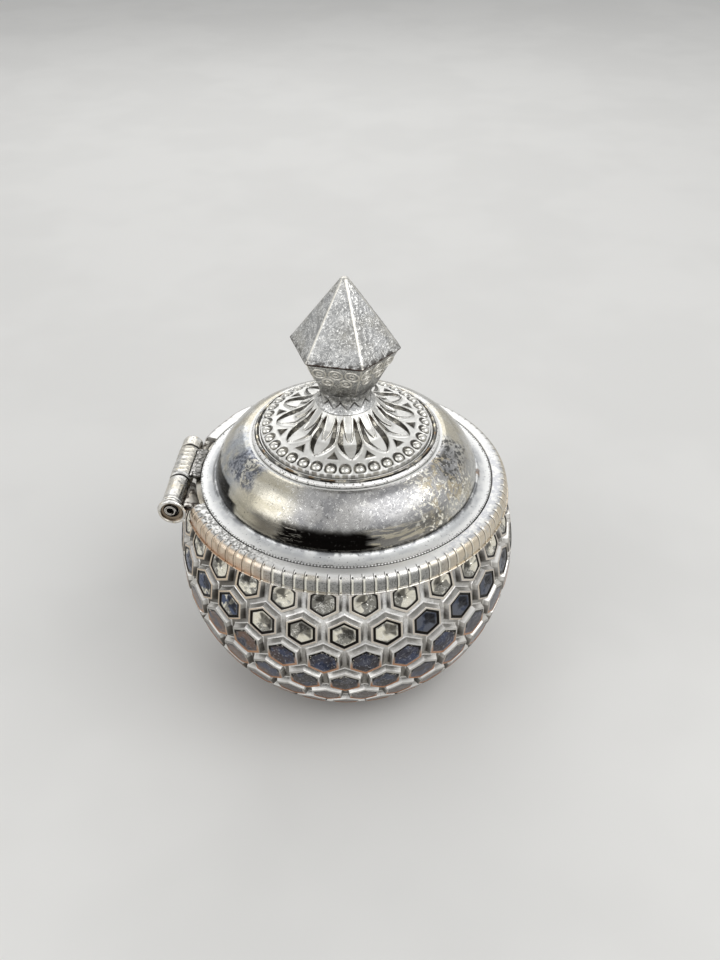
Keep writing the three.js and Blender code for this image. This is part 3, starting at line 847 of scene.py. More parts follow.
def dome_coats(place):
    """Worn polish painted with reflections of dark surroundings: black at the foot in front and at
    the left, cream on the left, greys in front; blue-grey bloom on the left, tarnish and painted
    reflection; painted glints, as of fine bright dents, all over the front."""
    drawn = add(place.id_data, "ShaderNodeMapping", {"Vector": place, "Scale": (0.3, 0.3, 2.2)}).outputs[0]
    height = measured(place, 0.4, 1.0)[1]
    smooth_radius, smooth_height = measured(place, 0.15, 0.5)
    foot = dome_low.z
    low_band = window(height, foot + 3.4, foot + 2.2)
    middle = window(height, foot + 1.6, foot + 3.0)
    upper = window(height, foot + 3.6, foot + 4.6)
    front = sector(place, 285, 55, 75, 8.0)
    return [
        # Painted reflections in front: mid greys over the middle and upper part, mottled
        ("#aaa9a8", 0.24, [front, middle, 0.9]),
        ("#838385", 0.22, [front, spots(place, 4.5, 0.44, 0.6, 3.0, 0.5), middle, 0.7]),
        # Painted reflection on the left: cream, and blue-grey speckle that is tarnish and painted
        # reflection
        ("#cfcabb", 0.14, [sector(place, 230, 12, 26, 4.0), 0.9]),
        ("#a8a18c", 0.16, [sector(place, 234, 8, 20, 4.0), spots(drawn, 3.0, 0.4, 0.62), 0.6]),
        ("#9aa0a8", 0.18, [sector(place, 200, 10, 20, 5.0), spots(place, 3.2, 0.4, 0.6), 0.7]),
        ("#858993", 0.18, [sector(place, 213, 9, 15, 5.0), upper,
                           spots(place, 2.2, 0.42, 0.5, 3.0, 0.4), 0.8]),
        ("#454852", 0.2, [sector(place, 213, 9, 15, 5.0), upper,
                          spots(place, 0.5, 0.48, 0.54, 4.0, 0.7), 0.8]),
        # Painted glints: fine bright marks over the front
        ("#f6f5f1", 0.2, [sector(place, 292, 46, 60, 8.0), worms(place, 0.45, 0.03, 0.5, 0.56), 0.9]),
        # Painted reflection: black at the left foot
        ("#0e0d0c", 0.2, [sector(place, 199, 13, 16, 3.0), window(smooth_height, foot + 3.1, foot + 2.7)]),
        ("#0e0d0c", 0.2, [sector(place, 198, 20, 24, 3.0), window(smooth_height, foot + 1.8, foot + 1.5)]),
        # Painted reflection: the dark band low in front, black in its middle, with grey and cream streaks
        ("#73716d", 0.16, [sector(drawn, 296, 20, 30, 6.0), low_band, 0.9]),
        ("#cbc3ae", 0.18, [sector(place, 300, 14, 24, 5.0), low_band,
                           spots(drawn, 0.9, 0.52, 0.58, 3.0, 0.4), 0.7]),
        ("#5f5b54", 0.14, [sector(drawn, 252, 14, 26, 8.0), low_band, 0.8]),
        ("#0e0c0b", 0.1, [sector(drawn, 266, 17, 22, 9.0), low_band]),
        ("#a9a59b", 0.2, [sector(drawn, 250, 3.0, 9.0, 6.0), low_band,
                          worms(drawn, 0.6, 0.05, 0.5, 0.56), 0.8]),
        # Painted highlight: bright cream sparkle on the right
        ("#d8c8a4", 0.15, [sector(place, 330, 10, 20, 6.0), spots(place, 2.0, 0.5, 0.62, 4.0, 0.8), 0.6]),
        ("#fbf7ea", 0.12, [sector(place, 328, 16, 26, 8.0), spots(place, 0.6, 0.55, 0.58, 4.0, 0.8)]),
        # Dark speckle on the upper right: tarnish and painted reflection
        ("#3d3d3d", 0.2, [sector(place, 344, 10, 18, 6.0), upper,
                          spots(place, 0.6, 0.5, 0.54, 4.0, 0.6), 0.9]),
        ("#4a4947", 0.25, [spots(place, 0.4, 0.63, 0.66, 4.0, 0.5), 0.6]),
        ("#dadad8", 0.4, [window(smooth_radius, ring_outer + 0.5, ring_outer + 0.35)]),
        ("#4c4a46", 0.4, [window(smooth_height, foot + 0.3, foot + 0.18),
                          spots(place, 0.4, 0.42, 0.5, 3.0), 0.8]),
    ]


def ring_coats(place):
    """The border is polished on its round part and frosted on its two edges."""
    radius = measured(place, 0.03, 0.5)[0]
    near, far = ring_bead_inner, ring_flange
    outer = window(radius, far, far + 0.05)
    inner = window(radius, near, near - 0.06)
    dark_line = window(radius, near + 0.07, near + 0.12, near + 0.2, near + 0.27)
    low_line = window(radius, far - 0.16, far - 0.1, far, far + 0.04)
    return [
        ("#6a6966", 0.15, [spots(place, 2.6, 0.42, 0.56, 4.0)]),
        ("#8f765a", 0.15, [spots(place, 2.0, 0.52, 0.6, 4.0), 0.85]),
        ("#e0d6bf", 0.15, [spots(place, 1.7, 0.55, 0.62, 3.0), 0.9]),
        ("#1c1a18", 0.25, [dark_line, spots(place, 3.0, 0.38, 0.5)]),
        ("#24221f", 0.25, [low_line, spots(place, 4.0, 0.4, 0.5)]),
        ("#eeedea", 0.42, [outer]),
        ("#e7e6e3", 0.42, [inner]),
        ("#55524d", 0.45, [outer, spots(place, 0.3, 0.58, 0.63, 3.0), 0.9]),
    ]


def petal_coats(place):
    """White blasted ground; petals and beads cut bright, painted dark grey as dark reflection and
    darker towards the points, with a painted highlight on the beads' tops; dark paint at the
    inner ends, inside the outlines and in the sockets, painted shade with tarnish."""
    frost, soot, edge = written(place, "frost", "soot", "edge")
    radius = measured(place, 0.3, 0.8)[0]
    points = window(radius, petal_tip - 2.7, petal_tip - 1.3, petal_tip, petal_tip + 0.1)
    return [
        # Painted dark reflection in the polished petals and beads, darker still towards the points
        ("#53514c", 0.18, [0.95]),
        ("#a9a59a", 0.16, [spots(place, 1.2, 0.5, 0.56, 3.0), 0.8]),
        ("#3f3c37", 0.16, [points, 0.65]),
        ("#e9e8e4", 0.44, [frost]),
        ("#cccac6", 0.42, [frost, spots(place, 1.8, 0.46, 0.62), 0.45]),
        # Bright edges; on the beads' tops this is a painted highlight
        ("#f1efe8", 0.22, [edge]),
        # Dark paint: painted shade inside the outlines and in the sockets, with tarnish near the neck
        ("#2a231d", 0.3, [soot]),
    ]


def knob_coats(place):
    """Grey satin faces full of bright curling dents, brown along the joint of the two halves,
    painted shade on the top of the neck under the cup, and dark paint on the cup and in the
    neck's groove, painted shade with tarnish.
    """
    ridge, soot = written(place, "ridge", "soot")
    height = add(place.id_data, "ShaderNodeSeparateXYZ", {0: place}).outputs["Z"]
    joint = window(height, girdle.z - 0.14, girdle.z - 0.02, tip_low.z + 0.1, tip_low.z + 0.32)
    above = window(height, tip_low.z, tip_low.z + 0.1, tip_low.z + 0.4, tip_low.z + 1.0)
    neck_top = window(height, neck_low.z + 1.2, neck_low.z + 1.8, knob_low.z + 0.7, knob_low.z + 1.6)
    return [
        ("#8f8f8e", 0.34, [spots(place, 2.2, 0.42, 0.6, 4.0), 0.6]),
        ("#6d6d6c", 0.36, [spots(place, 0.4, 0.55, 0.64, 4.0), 0.6]),
        ("#f8f7f3", 0.24, [worms(place, 0.45, 0.06, 0.4, 0.48)]),
        ("#d9d5cb", 0.34, [window(ridge, 0.6, 0.95), 0.8]),
        # Painted shade on the top of the neck and the foot of the cup, under the cup
        ("#5b5a58", 0.3, [neck_top, spots(place, 0.9, 0.42, 0.54, 4.0), 0.7]),
        ("#4a4744", 0.3, [above, spots(place, 0.8, 0.46, 0.56, 4.0), 0.85]),
        ("#4b2f1d", 0.35, [joint, spots(place, 1.2, 0.34, 0.42)]),
        # Dark paint on the cup and in the neck's groove: painted shade, with tarnish
        ("#2b2825", 0.35, [soot]),
    ]


# Its recess darkening is strong and wide: tarnish and painted shade in the valleys between the pads
pad_silver = silver_plate(
    "pad_silver", "#d8d7d3", "#cbc7bc", (0.1, 0.24), pad_coats, ("#35322e", 0.9), 1.1, pits=0.15,
)
base_silver = silver_plate(
    "base_silver", "#c9c6bd", "#b8b1a2", (0.3, 0.5), dirt=("#3d382f", 0.6), scratches=0.8, pits=0.4,
)
band_silver = silver_plate(
    "band_silver", "#b9b6ae", "#8f887b", (0.2, 0.45), dirt=("#26231f", 0.9), recess=0.5,
    scratches=0.5, pits=0.5, grain=0.3,
)
collar_silver = silver_plate(
    "collar_silver", "#cfcdc9", "#c3bdb0", (0.16, 0.34), collar_coats, ("#3b2f22", 0.4), 0.3,
    grain=0.3, grain_size=0.18, scratches=0.2,
)
hinge_silver = silver_plate(
    "hinge_silver", "#e6e5e2", "#d6d1c6", (0.16, 0.34), hinge_coats, ("#3a2c1e", 0.45), 0.4,
    grain=0.08, scratches=0.25, pits=0.1,
)
tab_metal = silver_plate(
    "tab_metal", "#c4c1ba", "#a79f92", (0.25, 0.5), bracket_coats, ("#33241a", 0.9),
    grain=0.3, pits=0.4,
)
leaf_silver = silver_plate(
    "leaf_silver", "#dad9d6", "#cbc6ba", (0.2, 0.4), leaf_coats, ("#2b2823", 0.9), 0.5,
    grain=0.4, scratches=0.0, pits=0.4,
)
frosted_silver = silver_plate(
    "frosted_silver", "#dedcd6", "#d3cfc4", (0.2, 0.4), rim_coats, ("#55504a", 0.5), 0.3,
    grain=0.25, scratches=0.0,
)
dome_silver = silver_plate(
    "dome_silver", "#c9c8c4", "#bcb6a6", (0.08, 0.26), dome_coats, ("#2b2925", 0.5), 0.4,
    grain=0.16, scratches=0.35, pits=0.15,
)
ring_silver = silver_plate(
    "ring_silver", "#c9c7c1", "#aca698", (0.1, 0.26), ring_coats, ("#2f2c27", 0.8), 0.4,
    scratches=0.3, pits=0.2,
)
petal_silver = silver_plate(
    "petal_silver", "#aba9a4", "#9c9486", (0.12, 0.26), petal_coats, ("#2d2a26", 0.5), 0.5,
    scratches=0.2, pits=0.2,
)
knob_silver = silver_plate(
    "knob_silver", "#b9b9b8", "#b0aea8", (0.22, 0.4), knob_coats, ("#3b2c20", 0.8), 0.5,
    grain=0.5, grain_size=0.3, scratches=0.3, pits=0.2,
)
plain_brass = silver_plate(
    "plain_brass", "#c9a860", "#b08d4c", (0.2, 0.4), dirt=("#3a2d18", 0.7), recess=0.5, scratches=0.5,
)


# Bowl

step = math.pi / pads_around
edge_climb = step / math.sqrt(3)
corner_climb = edge_climb * 2
row_climb = edge_climb + corner_climb
facet_depth = 0.05


def climb_of(height, radius):
    return math.atanh((height - middle_height) / radius)


# The rings of each kind of pad, from the valley to the middle: share of the cell, height,
# roundness, and then how much frost, dark paint, copper, mirror face, dish and shade. The dark
# paint is a painted shadow along the upper sides of a flat pad, and painted shade and dark
# reflection all around a hollow one; copper lies only along the lower sides of a flat one.
# Shade is painted shade on the lower walls; written below 0 along the upper sides, it gives
# them a painted highlight. What a row leaves out at its end is 0.
pad_wall = (
    (1.0, 0.0, 0.0, 1),
    (0.93, 0.02, 0.0, 1, 0, 0, 0, 0, 0.1),
    (0.86, 0.14, 0.0, 1, 0, 0, 0, 0, 0.9),
    (0.775, 0.8, 0.0, 0.9, 0, 0, 0, 0, 0.7),
    (0.76, 0.93, 0.0, 0.7, 0, 0, 0, 0, 0.3),
)
flat_pad = pad_wall + (
    (0.74, 0.975, 0.0, 0.5, 0, 0.2),
    (0.725, 0.985, 0.0, 0.3, 0, 0.8),
    (0.68, 0.985, 0.0, 0.2, 0, 1),
    (0.67, 0.96, 0.0, 0, 0.9, 1),
    (0.655, 0.93, 0.0, 0, 1, 0.9),
    (0.61, 0.92, 0.0, 0, 1, 0.1, 0.8),
    (0.575, 0.916, 0.0, 0, 1, 0, 0.9),
    (0.53, 0.912, 0.0, 0, 0, 0, 1),
    (0.15, 0.895, 0.0, 0, 0, 0, 1),
)
hollow_pad = pad_wall + (
    (0.74, 0.97, 0.0, 0.4, 0, 0.5),
    (0.725, 0.985, 0.0, 0.2, 0, 0.9),
    (0.67, 0.985, 0.0, 0.2, 0.1, 0.3),
    (0.655, 0.95, 0.0, 0, 1),
    (0.6, 0.86, 0.0, 0, 1),
    (0.54, 0.85, 0.05, 0, 1, 0, 0, 0.4),
    (0.515, 0.84, 0.1, 0, 0.1, 0, 0, 1),
    (0.42, 0.82, 0.2, 0, 0, 0, 0, 1),
    (0.24, 0.8, 0.3, 0, 0, 0, 0, 1),
    (0.08, 0.78, 0.6, 0, 0.7, 0, 0, 1),
)
dished_pad = pad_wall + (
    (0.735, 0.97, 0.0, 0.5, 0, 0.5),
    (0.715, 0.985, 0.0, 0.3, 0, 0.7),
    (0.645, 0.985, 0.05, 0.3, 0, 0.5),
    (0.63, 0.95, 0.15, 0, 1),
    (0.59, 0.87, 0.3, 0, 1),
    (0.55, 0.86, 0.45, 0, 0.8, 0, 0, 0.6),
    (0.53, 0.86, 0.5, 0, 0, 0, 0, 1),
    (0.38, 0.77, 0.6, 0, 0, 0, 0, 1),
    (0.19, 0.7, 0.8, 0, 0, 0, 0, 1),
    (0.05, 0.67, 1.0, 0, 0.8, 0, 0, 1),
)


def pad_cell(rings):
    """One cell of the pattern laid flat: x and y are angles on the bowl, z is its height."""
    bm = bmesh.new()
    layers = paint_on(bm, "frost", "soot", "copper", "pad_face", "pad_dish", "shade")
    is_hollow = rings is not flat_pad
    soot_turn = 2.2 if rings is dished_pad else 0.7
    rows = []
    for ring, (share, height, roundness, *paint) in enumerate(rings):
        is_cut = is_hollow and 0.1 < share < 0.5
        row = []
        for part, point in enumerate(hexagon(corner_climb * share, pad_side_parts, math.pi / 2, roundness)):
            up = smooth(-0.2, 0.25, point.y / (corner_climb * share))
            facet = facet_depth * (-1) ** (part // 2 + ring) if is_cut else 0.0
            # In a hollow pad the dark paint is a dark reflection painted as a wedge on one side
            if is_cut:
                away = math.cos(math.atan2(point.y, point.x) - soot_turn)
                paint[1] = 0.85 * smooth(0.0, 0.7, away + 0.25 * (-1) ** (part // 2))
            # On a flat pad the dark paint is a painted shadow along the upper sides only
            soot_side, copper_side = (1.0, 1.0) if is_hollow else (up, 1.0 - up)
            sides = (1.0, soot_side, copper_side, 1.0, 1.0, 1.0 - 1.8 * up)
            row.append(dab(
                bm, (*point, (height + facet) * pad_height * mm), layers,
                [value * side for value, side in zip(paint, sides)],
            ))
        rows.append(row)
    skin(bm, rows)
    bm.faces.new(rows[-1])
    return placed("pad_cell", as_mesh("pad_cell", bm))


def bowl_piece():
    """Dished pads in the first row, hollow ones in the second, flat mirrors below."""
    first = climb_of(bowl_high.z - rim_land, valley_radius) - corner_climb
    lowest = climb_of(bowl_low.z, valley_radius + pad_height) + corner_climb * pad_face
    rows = 1 + int((first - lowest) / row_climb)
    rows_of_pads = pad_tree()
    bm = in_millimetres(*[baked(rows_of_pads, {
        "Piece": pad_cell(rings), "Around": pads_around, "Rows": count, "Step": step,
        "Row climb": row_climb, "First climb": first - row_climb * before,
        "Turn": pad_turn + step * (before % 2), "Radius": valley_radius * mm,
        "Middle height": middle_height * mm, "Flat merge": step * 0.0005, "Merge": merge_gap,
        "Material": pad_silver,
    }) for rings, before, count in ((dished_pad, 0, 1), (hollow_pad, 1, 1), (flat_pad, 2, rows - 2))])
    bmesh.ops.remove_doubles(bm, verts=bm.verts, dist=0.002)
    lower, upper = boundary_loops(bm)
    lower = extended(bm, lower, [(bottom_radius, bowl_low.z)])
    bmesh.ops.edgeloop_fill(bm, edges=lower)
    outside = set(bm.verts)
    well_radius = valley_radius - bowl_wall
    high = math.degrees(math.acos(mouth_radius / well_radius))
    low = math.degrees(math.asin((bowl_low.z + bowl_wall - middle_height) / well_radius))
    well = [(rim_radius, bowl_high.z), (mouth_radius, bowl_high.z)]
    for out, up in arc(high, low, well_rings):
        well.append((well_radius * out, middle_height + well_radius * up))
    upper = extended(bm, upper, well)
    bmesh.ops.edgeloop_fill(bm, edges=upper)
    frost = bm.verts.layers.float["frost"]
    for vert in set(bm.verts) - outside:
        vert[frost] = 0.0
    return as_object("embossed_bowl", bm, 22)


# Mouth and collar

def band_piece():
    softs = (0.1, 0.1, 0.12, 0.12)
    return turned("landing_ring", washer(mouth_radius, band_radius, band_low.z, band_high.z, softs))


def collar_section(cut, swell=0.0):
    """The collar's section, with the groove cut to the given depth."""
    foot = collar_low.z + collar_lip
    top = rim_low.z + flange_top + swell
    under = rim_low.z - flange_seat
    width = collar_radius - collar_inner - collar_lip + swell
    section = [
        (collar_inner, collar_low.z + collar_tuck), (collar_radius - 0.08, collar_low.z),
        (collar_radius, collar_low.z + 0.07), (collar_radius, foot - 0.05),
        (collar_radius - 0.07, foot),
    ]
    for part, (out, up) in enumerate(arc(0, crest_end, crest_parts)):
        depth = cut * (1 - smooth(0.6, 0.95, part / crest_parts))
        section.append((
            collar_inner + width * out ** crest_bend - depth,
            foot + (top - foot) * up ** crest_bend - depth * 0.5,
        ))
    return section + [
        (collar_inner + 0.1, top), (flange_inner + 0.1, top), (flange_inner, top - 0.1),
        (flange_inner, under), (collar_inner, under),
    ]


def swept_mesh(stations, capped=False):
    """A skin over sections, each (turn, [(radius, height), ...], groove, line), with the groove
    and the dark line at one side of it painted; the line is a painted shadow."""
    bm = bmesh.new()
    layers = paint_on(bm, "groove", "line")
    skin(bm, [[
        dab(bm, polar(radius, turn, height), layers, paint if 0 < place < crest_parts + 5 else ())
        for place, (radius, height) in enumerate(section)
    ] for turn, section, *paint in stations], capped=capped)
    return bm


def collar_rib(pitch):
    """One rib with half a groove on each side."""
    stations = []
    for place in (0.0, 0.05, 0.1, 0.15, 0.19, 0.23, 0.27, 0.31, 0.36, pitch / 2 * collar_radius):
        share = 1 - smooth(0.25, 0.65, place / groove_half)
        stations.append((place / collar_radius, collar_section(groove_depth * share), share, 0.0))
    for turn, section, share, line in reversed(stations[:-1]):
        place = turn * collar_radius
        # The dark line is a painted shadow along one side of the groove
        line = smooth(0.2, 0.25, place) * smooth(0.35, 0.3, place)
        stations.append((pitch - turn, section, share * (1 - line), line))
    return as_object("rib", swept_mesh(stations))


def collar_arc(start, end):
    """Ribs from one turn to another, closed at both ends."""
    count = round((end - start) / (full_turn / ribs_around))
    pitch = (end - start) / count
    bm = bmesh.new()
    bm.from_mesh(around(collar_rib(pitch), count, start, pitch, collar_silver))
    for loop in boundary_loops(bm):
        bmesh.ops.edgeloop_fill(bm, edges=loop)
    return bm


def collar_piece():
    """The ribbed band, from the front tab around to the rear tab, with its lapped joint."""
    start = math.pi + math.asin((-front_low.y - tab_inset) / collar_inner)
    end = math.pi * 3 - math.asin((rear_high.y - tab_inset) / collar_inner)
    joint = full_turn + splice_turn
    parts = [collar_arc(start, joint - splice_half), collar_arc(joint + splice_half, end)]
    lap = []
    for index in range(splice_parts + 1):
        share = index / splice_parts
        swell = splice_swell * math.sin(math.pi * share) ** 0.5 + 0.01
        turn = between(joint - splice_half * 1.05, joint + splice_half * 1.05, share)
        lap.append((turn, collar_section(0.0, swell)))
    sleeve = swept_mesh(lap, capped=True)
    sleeve.transform(Matrix.Scale(mm, 4))
    whole = in_millimetres(*[as_mesh("part", part) for part in parts + [sleeve]])
    return as_object("ribbed_collar", whole, 32)


# Hinge

def beside_hinge(radius, turn, y):
    """A place around the hinge's axis."""
    return Vector((hinge.x + radius * math.cos(turn), y, hinge.z + radius * math.sin(turn)))


def on_hinge(name, outline, lean=0.0):
    """An outline of (radius, y, joint, rust) turned about the hinge's axis. The last two are
    paint. A lean moves it towards the bowl along its length."""
    bm = bmesh.new()
    layers = paint_on(bm, "joint", "rust")
    rings = []
    for radius, y, *paint in outline:
        shift = Vector((lean * (end_high.y - y), 0, 0))
        rings.append([
            dab(bm, beside_hinge(radius, full_turn * side / hinge_sides, y) + shift, layers, paint)
            for side in range(hinge_sides if radius else 1)
        ])
    skin(bm, rings + rings[:1])
    return as_object(name, bm, 40)


def front_knuckle_piece():
    near, far, radius = front_high.y, front_low.y, knuckle_radius
    outline = [(knuckle_bore, far), (radius - 0.12, far, 1, 0.6), (radius - 0.1, far + 0.08, 1, 0.5)]
    for place in (0.35, 0.85):
        for across, up, joint in ((-0.2, -0.06, 0.7), (-0.14, 0, 0), (0.12, 0, 0), (0.18, -0.06, 0.7)):
            outline.append((radius + up, far + place + across, joint))
    outline += [
        (radius - 0.04, far + 1.75), (radius - 0.02, near - 0.6), (radius, near - 0.35),
        (radius, near - 0.14), (radius - 0.1, near - 0.02, 1), (radius - 0.2, near, 1),
        (knuckle_bore, near, 1),
    ]
    return on_hinge("front_hinge_tube", outline)


def rear_knuckle_piece():
    near, far, radius = rear_low.y, rear_high.y, knuckle_radius
    outline = [
        (0, far - round_end), (knuckle_bore, far - round_end), (knuckle_bore, near, 1),
        (radius - 0.2, near, 1), (radius - 0.1, near + 0.03, 1), (radius, near + 0.14),
        (radius, near + 0.3),
    ]
    for out, up in arc(0, 90, round_parts):
        outline.append((between(round_flat, radius, out), far - round_end * (1 - up)))
    return on_hinge("rear_hinge_tube", outline + [(0, far)])


def middle_knuckle_piece():
    """The lid's knuckle, with the rings that were turned into it."""
    low, high, radius = middle_low.y, middle_high.y, knuckle_radius
    outline = [
        (knuckle_bore, low, 1), (radius - 0.2, low, 1), (radius - 0.08, low + 0.03, 1),
        (radius + 0.04, low + 0.16),
    ]
    worked_ring = (
        (-0.3, 0, 0), (-0.2, -0.02, 0.3), (-0.12, 0.05, 0), (0.0, 0.08, 0), (0.12, 0.05, 0),
        (0.2, -0.02, 0.25),
    )
    for share in (-0.86, -0.6, -0.34, 0.0, 0.3, 0.56, 0.84):
        middle = (low + high) / 2 + (high - low) / 2 * share
        outline += [(radius + up, middle + across, joint) for across, up, joint in worked_ring]
    outline += [
        (radius + 0.04, high - 0.16), (radius - 0.08, high - 0.03, 1), (radius - 0.2, high, 1),
        (knuckle_bore, high, 1),
    ]
    return on_hinge("lid_hinge_tube", outline)


def end_ring_piece():
    """The flared ring around the open end of the pin, leaning in towards the bowl."""
    low, high, radius = end_low.y, end_high.y, (end_high.z - end_low.z) / 2
    outline = [
        (end_bore, low + 0.5, 0.2, 1), (radius - 0.55, low + 0.42, 0, 1),
        (radius - 0.45, low + 0.1, 0.3, 1), (radius - 0.36, low, 0, 0.1), (radius - 0.1, low),
        (radius, low + 0.1), (radius, low + 0.4), (radius - 0.1, low + 0.52, 0.8, 0.4),
        (knuckle_radius, high, 1, 0.4), (end_bore, high, 1),
    ]
    return on_hinge("flared_end_ring", outline, lean=ring_lean / (high - low))


def pin_piece():
    """The pin is rolled from sheet, so its open end shows a spiral."""
    low, high = pin_low.y, pin_high.y
    bm = bmesh.new()
    layers = paint_on(bm, "rust")
    rows = []
    for part in range(pin_parts + 1):
        turns = pin_turns * part / pin_parts
        outer = pin_radius - pin_pitch * turns
        inner = outer - pin_wall
        rows.append([
            dab(bm, beside_hinge(radius, full_turn * turns, y), layers, (0.35,))
            for radius, y in ((outer, low), (outer, high), (inner, high), (inner, low))
        ])
    skin(bm, rows, capped=True)
    return as_object("rolled_pin", bm)


def softened(node, name, width):
    """A copy of a solid whose edges are broken a little."""
    bm = in_millimetres(frame["nodes"][node].data)
    bmesh.ops.remove_doubles(bm, verts=bm.verts, dist=0.001)
    bmesh.ops.dissolve_limit(bm, angle_limit=math.radians(1), verts=bm.verts, edges=bm.edges)
    sharp = [edge for edge in bm.edges if edge.calc_face_angle(0) > math.radians(35)]
    bmesh.ops.bevel(bm, geom=sharp, offset=width, segments=2, affect="EDGES", clamp_overlap=True)
    return as_object(name, bm, 50)


# Lid

def lid_rim_piece():
    """The hollow curve from the milled edge up to the foot of the dome."""
    inner, outer, foot = dome_high.x - lid_wall, rim_high.x, dome_high.x + 0.2
    low, edge, top = rim_low.z, rim_low.z + 0.4, rim_high.z
    outline = rounded([(inner, low, 0), (outer, low, 0.1), (outer, edge - 0.04, 0)])
    for up, across in arc(0, 90, 14):
        outline.append((between(outer - 0.06, foot, across), between(edge + 0.01, top, 1 - up)))
    return turned("frosted_rim", outline + [(inner, top)], fine_sides)


def skirt_piece():
    inner, outer = skirt_high.x - skirt_wall, skirt_high.x
    return turned("lid_skirt_ring", washer(inner, outer, skirt_low.z, skirt_high.z, (0.2, 0.3, 0, 0.1)))


def dome_shell(foot, top, low, high):
    """A curve up from the foot's radius to the top's."""
    return [
        (between(top, foot, out ** dome_bend), between(low, high, up ** dome_bend))
        for out, up in arc(0, 90, 44)
    ]


def dome_piece():
    under = dome_high.z - lid_wall
    outside = dome_shell(dome_high.x, dome_crown, dome_low.z, dome_high.z)
    inside = dome_shell(dome_high.x - lid_wall, dome_crown - lid_wall, dome_low.z, under)
    bm = turned_mesh(outside + [(stud_bore, dome_high.z), (stud_bore, under)] + inside[::-1], fine_sides)
    for vert in bm.verts:
        out = vert.co.xy.length
        if out > dome_crown:
            uneven = 0.05 * (0.5 + noise.noise(vert.co * 0.22))
            vert.co.xy *= 1 - uneven * smooth(dome_crown, dome_crown + 1, out) / out
    return as_object("polished_dome", bm)


def ring_piece():
    low, high = ring_low.z, ring_high.z
    outline = [
        (ring_inner, low), (ring_outer, low), (ring_outer, low + 0.26), (ring_outer - 0.05, low + 0.34),
        (ring_flange + 0.1, low + 0.56), (ring_flange + 0.04, low + 0.57), (ring_flange, low + 0.5),
    ]
    middle, half = (ring_flange + ring_bead_inner) / 2, (ring_flange - ring_bead_inner) / 2
    for out, up in arc(0, 180, 10):
        outline.append((middle + half * out, low + 0.5 + (high - low - 0.5) * up))
    outline += [
        (ring_bead_inner - 0.04, low + 0.48), (ring_bead_inner - 0.08, low + 0.6), (ring_inner, low + 0.62),
    ]
    return turned("medallion_border", outline, fine_sides, 50)


# Medallion, worked as one relief: heights above its foot for each place

cone = (
    (neck_foot_radius, 5.6), (5.05, 4.62), (6.05, 3.63), (7.65, 2.75), (9.71, 2.24), (10.9, 1.9),
    (11.4, 1.72), (12.35, 1.32), (12.65, 1.2),
)


def petal_relief(radius, turn):
    """Height above the cone, frost, dark paint and bright edge at a place in the sector of one petal.
    The dark paint is painted shade inside the outline and, with tarnish, in the hollows near the neck.
    """
    across = abs(radius * turn)
    share = (radius - petal_middle) / (petal_tip - petal_middle)
    height, frost, soot, edge = 0.0, 1.0, 0.0, 0.0
    if abs(share) < 1.0:
        half = petal_half * (1 - share * share) ** 0.75
        half = min(half, radius * math.tan(math.pi / petals) - 0.06)
        inside = half - across
        scoop = smooth(0.15, max(half * 0.8, 0.35), inside)
        edge = smooth(0.0, 0.05, inside) * (1 - smooth(0.1, 0.17, inside))
        height = 0.24 * smooth(-0.16, 0.0, inside) + 0.12 * edge - 0.38 * scoop
        frost = 1.0 - smooth(-0.03, 0.05, inside)
        keel = smooth(0.16, 0.04, across) * scoop * smooth(7.4, 8.2, radius)
        height += 0.12 * keel
        # A painted shade line inside the outline, darker on one side
        line = smooth(0.13, 0.18, inside) * smooth(0.29, 0.23, inside)
        soot = (1.0 if turn > 0 else 0.7) * line * smooth(5.0, 6.0, radius)
        leaf_share = max((radius - neck_foot_radius) / (leaf_tip - neck_foot_radius), 0.0)
        leaf_half = leaf_width * math.sqrt(max(1 - leaf_share ** 2.6, 0.0))
        inner = leaf_half - across
        if inner > -0.12 and leaf_share < 1:
            rim = smooth(-0.02, 0.03, inner) * (1 - smooth(0.1, 0.16, inner))
            height = max(height, 0.26 * smooth(-0.12, 0.0, inner) - 0.2 * smooth(0.1, 0.24, inner))
            frost = max(frost, 0.7 * smooth(0.1, 0.16, inner))
            edge = max(edge, rim)
        elif inside > 0.12:
            # Tarnish and painted shade in the hollow between the leaf and the outline near the neck
            soot = max(soot, smooth(5.9, 5.2, radius))
    return height * smooth(neck_foot_radius, 5.0, radius), frost, soot, edge


def point_relief(radius, turn):
    """The small three-sided point between two petals."""
    across = abs(radius * (math.pi / petals - abs(turn)))
    edge = min(0.62 * (radius - 8.75) - across, 10.45 - radius)
    return 0.26 * min(max(edge / 0.45, 0.0), 1.0)


def socket_relief(radius, turn):
    """The round recess that a bead lies in, with a fine raised lip."""
    pitch = full_turn / beads_around
    nearest = (round(turn / pitch - 0.5) + 0.5) * pitch
    away = math.hypot(radius * math.cos(turn - nearest) - bead_circle, radius * math.sin(turn - nearest))
    lip = smooth(bead_socket + 0.1, bead_socket + 0.02, away) if away > bead_socket else 1.0
    inner_side = smooth(12.5, 12.2, radius)
    return 0.08 * lip - 0.3 * inner_side * (1 - smooth(bead_socket - 0.14, bead_socket, away)), away


